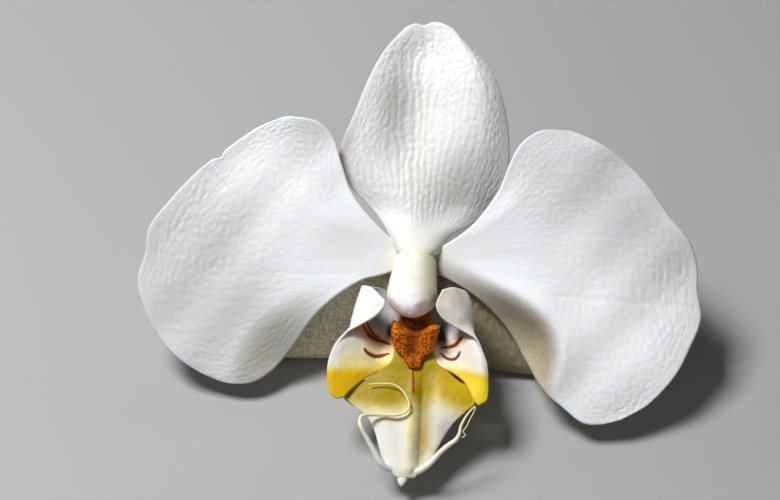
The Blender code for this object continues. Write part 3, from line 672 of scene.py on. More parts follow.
LEFT_NICK_CREASE = [(-34.1, 12.6), (-32.6, 11.4), (-31.1, 10.1)]
LEFT_DIMPLES = (-35.5, 1.0)
RIGHT_DIMPLES = (40.0, -2.0)
# Lines along each petal's bright middle: the painted grey shade grows with the distance from them.
LEFT_CORE = [(-6.0, -1.0), (-11.0, 3.0), (-15.0, 10.0), (-17.5, 18.0)]
RIGHT_CORE = [(6.0, 1.0), (15.0, -2.5), (24.0, -7.0), (29.0, -13.0), (31.0, -20.0)]
LEFT_MIDLINE = [(-35.0, -3.9), (-28.0, -3.7), (-20.0, -3.2), (-10.4, -2.9)]
RIGHT_MIDLINE = [(21.4, -4.5), (32.0, -4.9), (44.4, -5.5)]
print("points round the petals:", [sum(map(len, outline.values())) for outline in (LEFT_PETAL, RIGHT_PETAL)])

# %% [markdown]
# A fold is a line of a few points on the face. Beyond it the petal falls away and lies in shade, which is
# also painted into its colour, so one helper gives both. In it and in the formulas after it, heights and
# distances are in millimetres, and the other numbers are shares of the way along a line, up a blade (s) or
# out from its middle (w).

# %% Helpers for folds and lines
LINE_STEPS = 80
FOLD_MARGIN = 1.2
FALL_SHARE, FALL_SHARPNESS = 1.1, 1.6
CREST_SHARE, CREST_WIDTH = 0.2, 3.5
MARGIN_END = 0.98


def line_distance(a, f, line):
    """How far each point lies from a line of a few points, on the flower's face."""
    walked = even_spline(line, np.linspace(0.0, 1.0, LINE_STEPS + 1))
    return np.min(np.hypot(a[..., None] - walked[:, 0], f[..., None] - walked[:, 1]), axis=-1)


def side_distance(a, f, line):
    """How far each point lies to the right of a line's run, and how far along the line it lies."""
    walked = even_spline(line, np.linspace(0.0, 1.0, LINE_STEPS + 1))
    near = np.argmin(np.hypot(a[..., None] - walked[:, 0], f[..., None] - walked[:, 1]), axis=-1)
    run = np.gradient(walked, axis=0)[near]
    over, up = a - walked[near, 0], f - walked[near, 1]
    step = np.hypot(run[..., 0], run[..., 1])
    right = (over * run[..., 1] - up * run[..., 0]) / step
    ahead = (over * run[..., 0] + up * run[..., 1]) / step**2
    return right, (near + ahead) / LINE_STEPS


def folded(a, f, line, drop, reach, side, base_shade):
    """How far a petal falls away beyond a fold, steeply at first, and how much painted shade it takes there.
    """
    distance, along = side_distance(a, f, line)
    beyond = np.maximum(0.0, side * distance + FOLD_MARGIN)
    fall = 1.0 - np.exp(-((beyond / reach) ** FALL_SHARPNESS))
    crest = CREST_SHARE * drop * hump(distance, 0.0, CREST_WIDTH)
    lasting = ramp(along, 0.02, 0.5) * (1 - ramp(along, 0.7, 0.95))
    from_base = base_shade + (1 - base_shade) * ramp(along, 0.15, 0.55)
    shaded = ramp(side * distance, -2.2, 1.3) * from_base * (1 - ramp(along, 0.85, 1.0))
    return (crest - FALL_SHARE * drop * fall) * lasting, shaded


def calm_margin(s, w, share, start):
    """The weight of relief, which fades from a start towards the blade's margins."""
    return 1 - share * ramp(np.maximum(np.abs(w), 2 * s - 1), start, MARGIN_END)


print("helpers:", [helper.__name__ for helper in (line_distance, side_distance, folded, calm_margin)])

# %% The left petal's sheet
LEFT_FOLD_FALL = {"drop": 1.15, "reach": 5.5, "side": -1, "base_shade": 0.1}
NICK_DEPTH = 0.55
NICK_WIDTH = 0.7
NICK_SLANT = 0.7


def left_petal_surface(rows, columns):
    """The left petal's middle sheet, as (a, f, n), with its own s and w and its share of painted shade."""
    a, f, s, w = outline_grid(LEFT_PETAL, rows, columns)
    dish = 1.3 * ramp(s, 0.0, 0.4) + 0.3 * ramp(s, 0.62, 1.0)
    top_roll = -1.4 * ramp(w, 0.45, 1.0) * ramp(s, 0.1, 0.5) * (1 - 0.9 * ramp(s, 0.6, 0.95))
    low_roll = -1.7 * ramp(-f, 4.0, 21.0) * ramp(s, 0.3, 0.7)
    fold, shaded = folded(a, f, LEFT_FOLD, **LEFT_FOLD_FALL)
    waves = 0.4 * np.sin(7.0 * w + 0.6) * ramp(s, 0.55, 1.0)
    dimples = 0.24 * np.sin(0.55 * a + 0.4) * np.sin(0.42 * f) * ramp(s, 0.3, 0.7)
    lines = 0.16 * hump(line_distance(a, f, LEFT_NICK_CREASE), 0.0, 0.5)
    lines = lines + 0.04 * hump(line_distance(a, f, LEFT_MIDLINE), 0.0, 0.35)
    nick = NICK_DEPTH * hump(np.hypot(a - LEFT_NICK[0], f - LEFT_NICK[1]), 0.0, NICK_WIDTH)
    n = -0.25 + dish + top_roll + low_roll + fold + waves + dimples - lines
    return np.stack([a + NICK_SLANT * nick, f - NICK_SLANT * nick, n], axis=2), s, w, shaded


# %% The right petal's sheet
RIGHT_FOLD_FALL = {"drop": 4.8, "reach": 3.3, "side": 1, "base_shade": 0.7}


def right_petal_surface(rows, columns):
    """The right petal's middle sheet, as (a, f, n), with its own s and w and its share of painted shade."""
    a, f, s, w = outline_grid(RIGHT_PETAL, rows, columns)
    dish = 1.9 * ramp(s, 0.0, 0.45) - 1.2 * ramp(s, 0.66, 1.0) * ramp(f, -20.0, -4.0)
    top_roll = (0.7 * ramp(f, 4.0, 22.0) - 0.7 * ramp(w, 0.75, 1.0)) * ramp(s, 0.1, 0.5)
    low_rise = 2.0 * ramp(-f, -2.0, 22.0) * ramp(s, 0.25, 0.6)
    fold, shaded = folded(a, f, RIGHT_FOLD, **RIGHT_FOLD_FALL)
    waves = 0.3 * np.sin(9.0 * w - 0.5) * ramp(s, 0.75, 1.0)
    dimples = 0.24 * np.sin(0.5 * a + 1.4) * np.sin(0.45 * f + 0.8) * ramp(s, 0.3, 0.7)
    lines = 0.07 * hump(line_distance(a, f, RIGHT_MIDLINE), 0.0, 0.35)
    n = -0.25 + dish + top_roll + low_rise + fold + waves + dimples - lines
    return np.stack([a, f, n], axis=2), s, w, shaded


# %% Grow the petals
PETAL_GRID = (150, 200)
PETAL_THICKNESS = 0.62
RIM = 0.45
FAN_CENTRE = (-25.0, -2.0)
FAN_EVEN_AT = 48.0
DIMPLED_ZONE = (6.0, 8.0)
GREY_SHADE_FROM, GREY_SHADE_FULLY = 6.0, 21.0


def grow_petal(name, node, sheet, side, dimples, painted_shade, core, seed):
    """One petal, from its sheet to its finished piece."""
    surface, s, w, shaded = sheet
    a, f = surface[..., 0], surface[..., 1]
    growth = {
        "Vein Spacing": 1.6 * MM, "Vein Height": 0.012 * MM, "Crinkle Size": 0.55 * MM,
        "Crinkle Stretch": 1.1, "Crinkle Height": 0.31 * MM, "Web": 0.3, "Seed": seed,
        "Material": PETAL_FINISH,
    }
    margin = calm_margin(s, w, share=0.7, start=0.86)
    wide, tall = DIMPLED_ZONE
    dimpled = np.exp(-(((a - dimples[0]) / wide) ** 2) - ((f - dimples[1]) / tall) ** 2)
    values = {
        **fan_lengths(a, f, (side * FAN_CENTRE[0], FAN_CENTRE[1]), (side, 0.0), FAN_EVEN_AT),
        "veins": ramp(s, 0.3, 0.6) * margin,
        "crinkle": (ramp(s, 0.15, 0.6) + 1.4 * dimpled) * margin,
        # Painted olive shade beyond the fold, where the petal turns from the light.
        "painted_shade": painted_shade * shaded,
        # Painted grey shade on the outer zones, which lie less in the light.
        "grey_shade": ramp(line_distance(a, f, core), GREY_SHADE_FROM, GREY_SHADE_FULLY),
    }
    piece = grow_blade(name, face_to_frame(surface), values, PETAL_THICKNESS, RIM, growth)
    settle(piece, node)


grow_petal("left_petal", "petal_left", left_petal_surface(*PETAL_GRID), side=-1,
           dimples=LEFT_DIMPLES, painted_shade=0.42, core=LEFT_CORE, seed=3.0)
grow_petal("right_petal", "petal_right", right_petal_surface(*PETAL_GRID), side=1,
           dimples=RIGHT_DIMPLES, painted_shade=0.9, core=RIGHT_CORE, seed=8.0)

# %% [markdown]
# The upper sepal lies behind the petals. Its veins are much stronger: cream ridges that fan out from the
# base, a little over a millimetre apart. Two long folds run up it, a hollow left of the middle and a
# rounded ridge right of it, and both margins roll back. It could be a third petal with other numbers, but
# its folds fan out with its width, so it has a formula of its own. Its hollows, a few other patches and its
# rolled margins are painted a little greyer than the soft lamps alone would make them, as shade. A light grey
# tint covers the whole sepal, with more painted grey shade at its left margin.

# %% Upper sepal: outline and folds
DORSAL_SEPAL = {
    "base": [(-3.0, 1.0), (-1.7, 0.6), (0.0, 0.4), (1.8, 0.6), (3.3, 1.0)],
    "first": [(-3.0, 1.0), (-4.5, 3.9), (-6.4, 6.6), (-8.8, 9.1), (-11.2, 11.2), (-12.9, 13.8), (-13.3, 16.2),
              (-12.5, 19.6), (-11.1, 23.3), (-9.1, 29.0), (-6.8, 33.7), (-3.6, 37.6)],
    "second": [(3.3, 1.0), (5.4, 4.3), (8.1, 5.9), (10.9, 8.0), (13.2, 11.2), (14.2, 14.6), (14.2, 19.0),
               (13.3, 24.5), (11.1, 30.3), (8.2, 33.9), (5.0, 36.8)],
    "outer": [(-3.6, 37.6), (-2.0, 38.3), (-0.6, 38.1), (1.0, 38.7), (3.2, 38.2), (5.0, 36.8)],
}
UPPER_FOLDS = [(0.5, 0.4, 1.2), (-0.15, 0.36, -1.8), (-0.8, 0.25, 0.4)]
LOWER_FOLDS = [(-0.2, 0.45, 1.6)]
NECK_RISE = 3.3
SHOULDER_RISE = 0.9


def dorsal_surface(rows, columns):
    """The upper sepal's middle sheet, as (a, f, n). Its neck rises over the top of the column."""
    a, f, s, w = outline_grid(DORSAL_SEPAL, rows, columns)
    sink = 1.5 * ramp(s, 0.0, 0.22) - 0.5 * ramp(s, 0.3, 0.6)
    tip_fall = 1.4 * ramp(s, 0.7, 1.0)
    roll = (2.5 * ramp(w, 0.62, 1.3) + 0.7 * ramp(-w, 0.62, 1.3)) * ramp(s, 0.08, 0.3)
    neck = NECK_RISE * (1 - ramp(f, 1.5, 9.5)) + SHOULDER_RISE * (1 - ramp(f, 0.6, 3.4))
    neck = neck * (1 - 0.75 * np.abs(w) ** 2.5)
    fan = w * (1 - 0.3 * ramp(s, 0.45, 0.9))
    upper = sum(size * hump(fan, centre, width) for centre, width, size in UPPER_FOLDS)
    lower = sum(size * hump(w, centre, width) for centre, width, size in LOWER_FOLDS)
    folds = upper * ramp(s, 0.25, 0.52) * (1 - 0.8 * ramp(s, 0.82, 1.0))
    folds = folds + lower * ramp(s, 0.08, 0.25) * (1 - ramp(s, 0.35, 0.65))
    return np.stack([a, f, -1.3 - sink - tip_fall - roll + folds + neck], axis=2), s, w


# %% Upper sepal: growth and finish
DORSAL_GRID = (210, 170)
SEPAL_THICKNESS = 0.62
# Patches of painted shade on the upper sepal: across, up, width, height and share; then its rolled margins:
# side, up, height and share.
DORSAL_SHADES = [(-4.9, 25.5, 2.5, 8.5, 0.7), (-0.6, 18.0, 3.2, 10.0, 0.22), (7.2, 11.0, 5.2, 7.0, 0.85),
                 (0.8, 5.0, 2.4, 3.5, 0.2)]
DORSAL_MARGIN_SHADES = [(-0.94, 17.5, 4.5, 1.0), (0.98, 24.0, 7.0, 0.5)]
DORSAL_MARGIN_WIDTH = 0.08
DORSAL_FAN = {"centre": (0.3, -3.0), "spread": (0.0, 1.0), "even_at": 25.0}


def dorsal_shade(a, f, w):
    """How much painted shade each point of the upper sepal takes, in its hollows, in a few patches and at its
    margins.
    """
    hollows = sum(share * hump(np.hypot((a - x) / wide, (f - y) / tall), 0.0, 1.0)
                  for x, y, wide, tall, share in DORSAL_SHADES)
    margins = sum(share * hump(w, side, DORSAL_MARGIN_WIDTH) * hump(f, y, tall)
                  for side, y, tall, share in DORSAL_MARGIN_SHADES)
    return margins + hollows


def grow_dorsal():
    """The upper sepal's finished piece."""
    surface, s, w = dorsal_surface(*DORSAL_GRID)
    a, f = surface[..., 0], surface[..., 1]
    growth = {
        "Vein Spacing": 1.3 * MM, "Vein Height": 0.16 * MM, "Crinkle Size": 0.45 * MM,
        "Crinkle Stretch": 1.6, "Crinkle Height": 0.42 * MM, "Web": 0.35, "Seed": 5.0,
        "Material": DORSAL_FINISH,
    }
    margin = calm_margin(s, w, share=0.85, start=0.8)
    lengthwise = ramp(s, 0.1, 0.3) * (1 - 0.3 * ramp(s, 0.6, 0.95))
    values = {
        **fan_lengths(a, f, **DORSAL_FAN),
        "veins": lengthwise * (0.15 + 0.85 * hump(w, -0.1, 0.45)) * margin,
        "crinkle": (0.15 + 0.85 * ramp(s, 0.05, 0.4)) * (1 - 0.4 * ramp(s, 0.8, 1.0)) * margin,
        # Painted shade in the hollows, in the patches and at the rolled margins.
        "painted_shade": dorsal_shade(a, f, w),
        # A light grey over the whole sepal, and painted grey shade at its left margin.
        "grey_shade": 0.35 + 0.5 * ramp(-w, 0.6, 0.9),
    }
    piece = grow_blade("upper_sepal", face_to_frame(surface), values, SEPAL_THICKNESS, RIM, growth)
    settle(piece, "dorsal_sepal")


grow_dorsal()

# %% [markdown]
# The two lower sepals carry the flower. They hang down behind the petals, meet the floor and bend back
# along it. Their skin is a greenish grey with a fine mottle, and the right one, where less light comes, is
# painted darker as shade. Each is drawn flat and then laid over its side view, a line that drops to the floor
# and runs along it. A bend modifier could do the same with a flat mesh, but the line says exactly where the
# sepal touches the floor.

# %% Lower sepals: outline, side view and finish
LATERAL_SEPAL = {
    "base": [(0.7, 1.0), (2.0, 0.2), (3.2, -0.7)],
    "first": [(0.7, 1.0), (1.2, 5.0), (2.6, 12.0), (4.6, 18.5), (8.6, 24.4), (14.0, 27.6), (19.0, 28.2)],
    "second": [(3.2, -0.7), (8.6, -1.0), (15.4, 1.6), (21.6, 7.4), (25.6, 14.6), (26.8, 20.6), (25.2, 25.0)],
    "outer": [(19.0, 28.2), (21.6, 27.8), (23.8, 26.6), (25.2, 25.0)],
}
SEPAL_DROP = [(0.9, 16.1), (2.9, 11.6), (4.9, 7.2), (6.3, 3.9), (6.8, 2.1), (6.1, 0.75), (4.5, 0.34),
              (2.4, 0.33), (-1.0, 0.33), (-5.0, 0.33), (-9.0, 0.33)]
SEPAL_REACH = {-1: 0.3, 1: 1.1}
SEPAL_SKEW = {-1: 0.05, 1: 0.1}
# How much painted shade each lower sepal takes: none on the left, most on the right.
SEPAL_SHADED_SHARE = {-1: 0.0, 1: 0.9}
SEPAL_GREY = (0.76, 0.71, 0.52)
SEPAL_OLIVE = (0.50, 0.47, 0.26)
SEPAL_SHADED = (0.26, 0.225, 0.13)
SEPAL_DARK = (0.16, 0.14, 0.08)
SEPAL_COLOURS = (SEPAL_GREY, SEPAL_OLIVE, SEPAL_OLIVE, SEPAL_SHADED, SEPAL_DARK)
SEPAL_FINISH = petal_finish("sepal_grey_green", SEPAL_COLOURS, 12.0, 4.0, mottle=0.4, tint=0.2)
print("finish:", SEPAL_FINISH.name)

# %% Lower sepals: sheet and growth
LATERAL_GRID = (130, 90)
DROP_STEPS = 800
SKEW_CENTRE = 17.0


def lateral_surface(side, rows, columns):
    """A lower sepal's middle sheet, as (a, distance ahead, height), and how far it hangs free."""
    p, q, s, w = outline_grid(LATERAL_SEPAL, rows, columns)
    fractions = np.linspace(0.0, 1.0, DROP_STEPS + 1)
    fine = even_spline(SEPAL_DROP, fractions)
    lengths = fractions * np.linalg.norm(np.diff(fine, axis=0), axis=1).sum()
    slopes = np.gradient(fine, axis=0)
    slopes /= np.linalg.norm(slopes, axis=1, keepdims=True)
    along = np.clip(q + 1.0, 0.0, lengths[-1])
    ahead, height = (np.interp(along, lengths, fine[:, k]) for k in range(2))
    run, fall = (np.interp(along, lengths, slopes[:, k]) for k in range(2))
    ahead = ahead + (SEPAL_REACH[side] + SEPAL_SKEW[side] * (p - SKEW_CENTRE)) * ramp(q, 3.0, 17.0)
    hanging = 1 - ramp(q, 11.0, 16.5)
    crown = (0.9 * (1 - w * w) - 0.5 + 0.3 * np.sin(5.0 * w + side)) * ramp(s, 0.08, 0.3) * hanging
    return np.stack([side * p, ahead - fall * crown, height + run * crown], axis=2), s, hanging


def grow_lateral(name, node, side, seed):
    """A lower sepal's finished piece."""
    surface, s, hanging = lateral_surface(side, *LATERAL_GRID)
    growth = {
        "Vein Spacing": 1.2 * MM, "Vein Height": 0.06 * MM, "Crinkle Size": 0.75 * MM,
        "Crinkle Stretch": 1.4, "Crinkle Height": 0.6 * MM, "Web": 0.9, "Seed": seed,
        "Material": SEPAL_FINISH,
    }
    values = {
        "veins": ramp(s, 0.05, 0.2) * hanging, "crinkle": 0.2 + 0.8 * hanging,
        # Painted shade on the right sepal, where less light comes.
        "painted_shade": SEPAL_SHADED_SHARE[side],
    }
    piece = grow_blade(name, side_to_frame(surface), values, SEPAL_THICKNESS, RIM, growth)
    settle(piece, node)


grow_lateral("lower_sepal_left", "lateral_sepal_left", side=-1, seed=12.0)
grow_lateral("lower_sepal_right", "lateral_sepal_right", side=1, seed=17.0)

# %% [markdown]
# The lip is the flower's landing stage: a claw that comes out under the column, an arrow shaped middle
# lobe, and two upright side lobes. It is waxier than the petals. Its marks are laid out as they are seen
# from the front, so a helper works out where a point of the lip appears on the flower's own plane.
# Each mark is a line of a few points. What the mesh carries is the distance from that line, counted in
# the line's own half widths, and the finish draws the line's edge. Marks painted on an image would blur
# when one looks closely, and this way the edge stays crisp.

# %% Helpers for the lip's marks
MARK_STEPS = 70
NO_STRIPE = 9.0


def seen(surface):
    """Where the points of a surface appear on the flower's plane, seen from the front."""
    a, f, n = np.moveaxis(surface, -1, 0)
    nearer = CAMERA_DISTANCE / (CAMERA_DISTANCE - n)
    return CAMERA_AIM[0] + (a - CAMERA_AIM[0]) * nearer, CAMERA_AIM[1] + (f - CAMERA_AIM[1]) * nearer


def mark_distance(a, f, line, half_width, taper=0.7):
    """Distance from a tapering mark, in half widths, so that 1 is its edge."""
    t = np.linspace(0.0, 1.0, MARK_STEPS)
    walked = even_spline(line, t)
    width = half_width * (1.0 - taper + taper * np.sqrt(np.sin(math.pi * np.clip(t, 0.01, 0.99))))
    return np.min(np.hypot(a[..., None] - walked[:, 0], f[..., None] - walked[:, 1]) / width, axis=-1)


def line_height(a, line):
    """The height of a line of points over any place across."""
    across, height = np.array(line).T
    return np.interp(a, across, height)


print("helpers:", [helper.__name__ for helper in (seen, mark_distance, line_height)])

# %% [markdown]
# One finish serves the whole lip. The mesh says how much yellow, cream, olive and brown each point has,
# where it takes painted shade in grey, olive and near black, and how far it is from a stripe. The finish adds
# a little noise to each, so no border is drawn with a ruler, and keeps the marks on the front.

# %% Finish of the lip
LIP_WHITE = (0.80, 0.795, 0.77)
LIP_CREAM = (0.76, 0.71, 0.42)
# Painted shade: grey for walls and hollows that lie in shade.
LIP_SHADE_GREY = (0.29, 0.29, 0.30)
LIP_YELLOW = (0.69, 0.43, 0.002)
LIP_LEMON = (0.90, 0.77, 0.04)
# Olive: partly the yellow dulled, partly painted shade.
LIP_OLIVE_AND_SHADE = (0.36, 0.26, 0.002)
LIP_RUST = (0.80, 0.36, 0.10)
LIP_BROWN = (0.42, 0.13, 0.015)
LIP_UMBER = (0.18, 0.05, 0.008)
# Painted shade: near black for the deepest pockets.
LIP_DEEP_SHADE = (0.035, 0.038, 0.030)
STRIPE_RED = (0.26, 0.030, 0.010)


def lip_finish():
    """White wax with yellow, cream and brown areas, dark red stripes, and painted shade in grey, dark yellow
    and near black.
    """
    finish, tree, shader = new_finish("lip_white_yellow", roughness=0.45, subsurface=0.2, depth=0.4)
    shader.inputs["Specular IOR Level"].default_value = 0.2
    cell_skin(tree, shader, size=0.35, strength=0.25, height=0.04)
    clouds = maths(tree, "SUBTRACT", patches(tree, size=1.6, detail=3.0), 0.5)
    front = maths(tree, "SUBTRACT", 1.0, painted(tree, "behind"))

    def ragged(name, share):
        """A value that the mesh carries, made uneven by clouds."""
        return maths(tree, "MULTIPLY_ADD", clouds, share, painted(tree, name))

    def in_front(value):
        """The same value, but nothing on the back of the lip."""
        return maths(tree, "MULTIPLY", value, front)

    colour = blend(tree, painted(tree, "cream"), LIP_WHITE, LIP_CREAM)
    # Painted grey shade, on the front only.
    colour = blend(tree, in_front(painted(tree, "lip_shade")), colour, LIP_SHADE_GREY)
    yellow = blend(tree, painted(tree, "lemon"), LIP_YELLOW, LIP_LEMON)
    colour = blend(tree, rise(tree, ragged("yellow", 0.3), 0.05, 0.95), colour, yellow)
    # Olive: partly the yellow dulled, partly painted shade.
    colour = blend(tree, rise(tree, ragged("olive_and_shade", 0.4), 0.1, 1.0), colour, LIP_OLIVE_AND_SHADE)
    colour = blend(tree, in_front(ragged("rust", 0.5)), colour, LIP_RUST)
    brown = blend(tree, rise(tree, clouds, -0.02, 0.08), LIP_BROWN, LIP_UMBER)
    colour = blend(tree, in_front(rise(tree, ragged("brown", 0.5), 0.3, 0.8)), colour, brown)
    # Painted near black shade in the pockets beside the callus.
    colour = blend(tree, in_front(rise(tree, ragged("deep", 0.4), 0.2, 0.9)), colour, LIP_DEEP_SHADE)
    colour = blend(tree, in_front(rise(tree, ragged("stripe", 0.9), 1.35, 0.65)), colour, STRIPE_RED)
    tree.links.new(colour, shader.inputs["Base Color"])
    return finish


LIP_FINISH = lip_finish()
print("finish:", LIP_FINISH.name)

# %% [markdown]
# The middle lobe. Each station gives its left edge, its centre line, its right edge, and how far the two
# halves swell up like cushions on each side of the groove. Stations keep the two halves free to differ,
# as they do on the real lip, where a mirror modifier would make them the same.

# %% Middle lobe: its stations
LIP_MIDDLE = [
    ((-1.5, -3.5, -0.7), (0.1, -3.6, -0.9), (1.7, -3.5, -0.7), 0.0),
    ((-2.0, -7.0, 0.9), (0.2, -7.2, 0.3), (2.4, -7.0, 0.9), 0.0),
    ((-2.4, -10.0, 3.4), (0.2, -10.2, 2.9), (2.9, -10.0, 3.4), 0.0),
    ((-2.7, -13.0, 5.9), (0.3, -13.0, 5.5), (3.4, -13.0, 5.9), 0.0),
    ((-3.1, -15.8, 7.3), (0.3, -15.8, 7.0), (3.9, -15.6, 7.3), 0.1),
    ((-4.9, -17.4, 7.6), (0.4, -17.8, 7.6), (5.6, -16.9, 7.6), 0.3),
    ((-6.7, -18.9, 8.1), (0.4, -19.8, 8.2), (7.7, -18.6, 8.1), 0.5),
    ((-9.7, -19.9, 8.7), (0.3, -21.8, 8.8), (10.0, -19.5, 8.7), 0.7),
    ((-10.3, -21.7, 9.4), (0.2, -23.6, 9.3), (10.3, -21.6, 9.4), 0.8),
    ((-8.6, -23.0, 9.8), (0.1, -25.2, 9.8), (9.2, -22.7, 9.8), 0.8),
    ((-6.5, -24.5, 10.2), (0.0, -26.8, 10.3), (7.4, -24.2, 10.2), 0.8),
    ((-5.2, -26.4, 10.7), (-0.1, -28.4, 10.8), (5.8, -26.4, 10.7), 0.7),
    ((-4.4, -28.8, 11.2), (-0.2, -30.2, 11.3), (4.6, -28.8, 11.2), 0.6),
    ((-3.4, -31.2, 11.8), (-0.4, -32.0, 11.9), (3.6, -31.1, 11.8), 0.4),
    ((-1.5, -33.3, 12.4), (-0.5, -33.5, 12.5), (1.2, -33.3, 12.4), 0.1),
]
LIP_THICKNESS = 0.75
MIDDLE_LOBE_GRID = (200, 110)
PROFILE_STEPS = 240
SWELL_SHARE = 0.5
LOBE_PROFILE = [(-10.5, -0.3), (-7.0, 0.1), (-4.0, 0.3), (-2.0, 0.3), (-0.6, 0.45), (0.4, 0.65), (1.1, 0.2),
                (1.8, -0.5), (2.7, -0.45), (3.7, 0.1), (5.0, 0.4), (7.5, 0.2), (10.5, -0.3)]


def middle_lobe_surface(rows, columns):
    """The middle sheet of the claw and the middle lobe, as (a, f, n)."""
    net = []
    for *points, swell in LIP_MIDDLE:
        left, centre, right = np.array(points)
        cushions = [(left + centre) / 2, centre, (right + centre) / 2]
        net.append([left, *(point + [0.0, 0.0, SWELL_SHARE * swell] for point in cushions), right])
    surface, s, u = net_grid(net, rows, columns)
    open_part = ramp(s, 0.3, 0.5) * (1 - ramp(s, 0.92, 1.0)) * (1 - np.abs(2 * u - 1) ** 6)
    profile = spline(LOBE_PROFILE, np.linspace(0.0, 1.0, PROFILE_STEPS))
    surface[..., 2] += np.interp(surface[..., 0], profile[:, 0], profile[:, 1]) * open_part
    return surface


print("stations of the middle lobe:", len(LIP_MIDDLE))

# %% [markdown]
# Yellow covers the upper part of the middle lobe and runs on down the groove as a narrowing strip, with
# a dark red line at its top. Left of the groove the yellow is dulled to olive, right of it it is golden, and
# below it the groove and what lies right of it are painted a little greyer and creamier, as shade.

# %% Middle lobe: colours and growth
GROOVE_LINE = [(0.4, -17.3), (0.7, -22.4), (0.7, -25.6), (0.5, -28.8), (0.4, -32.0), (0.2, -34.4)]
GROOVE_RED = [(0.4, -16.9), (0.55, -19.5), (0.65, -21.9)]
YELLOW_BORDER = [(-10.5, -23.2), (-7.0, -23.6), (-3.0, -23.8), (0.0, -23.2), (2.0, -21.2), (4.0, -21.6),
                 (7.0, -23.2), (10.5, -24.5)]
LIP_SMOOTH = {
    "Vein Spacing": 1.0 * MM, "Vein Height": 0.012 * MM, "Crinkle Size": 1.4 * MM, "Crinkle Stretch": 1.3,
    "Crinkle Height": 0.12 * MM, "Web": 0.0, "Material": LIP_FINISH,
}


def middle_lobe_colours(a, f):
    """What the finish needs to know at each point of the middle lobe, as seen from the front."""
    middle = line_height(-f, [(-down, across) for across, down in GROOVE_LINE])
    strip = hump((a - middle) / (0.6 + 1.6 * ramp(f, -33.0, -21.0)), 0.0, 1.0)
    strip = strip * (0.3 + 0.7 * ramp(f, -34.0, -24.0))
    border = line_height(a, YELLOW_BORDER)
    zone = ramp(f, border - 2.4, border + 2.6)
    golden = ramp(a, 1.0, 4.5)
    # Painted shade: the groove low down, the part right of it below the yellow, and the strip low down, where
    # the lobe turns from the light.
    groove = hump(a, 2.3, 1.4) * ramp(f, -36.0, -28.0)
    greyed_shade = 0.2 * ramp(a, 0.8, 2.6) * (1 - zone) + 0.3 * hump(a, 0.3, 0.9) * (1 - ramp(f, -30.0, -24.0))
    return {
        "yellow": np.maximum((0.8 + 0.15 * golden) * zone, 0.4 * strip),
        "lemon": np.maximum(1 - zone, 0.15 * golden),
        # Olive: the yellow dulled left of the groove, with painted shade added in and right of the groove.
        "olive_and_shade": (0.95 - 0.35 * golden) * ramp(f, border - 2.5, border + 2.0) + 0.6 * groove + greyed_shade,
        # Right of the groove the cream is partly painted shade.
        "cream": np.maximum(ramp(f, border - 4.0, border), np.maximum(strip, 0.7 * hump(a, 2.4, 3.0))),
        # Painted grey shade right of the groove and down in it.
        "lip_shade": 0.3 * hump(np.hypot(a - 5.0, f + 26.0), 0.0, 2.4) + 0.5 * groove,
        "brown": (1 - ramp(-f, 11.0, 13.0)) * ramp(-f, 6.0, 8.5),
        "stripe": mark_distance(a, f, GROOVE_RED, half_width=0.17, taper=0.5),
    }


def grow_middle_lobe():
    """The claw and the middle lobe of the lip."""
    surface = middle_lobe_surface(*MIDDLE_LOBE_GRID)
    values = middle_lobe_colours(*seen(surface))
    growth = {**LIP_SMOOTH, "Seed": 21.0}
    piece = grow_blade("lip_middle_lobe", face_to_frame(surface), values, LIP_THICKNESS, RIM, growth)
    settle(piece, "lip")


grow_middle_lobe()

# %% [markdown]
# The side lobes stand up on both sides of the claw and curl over the callus. Each is a net of points:
# a row runs from the claw, round the lobe's back wall, to its free front edge. The first row is the
# yellow lower edge and the last one is the white top. A flat petal shape that is bent afterwards would
# be hard to fit round the callus, and with a net each edge lies where it was measured.

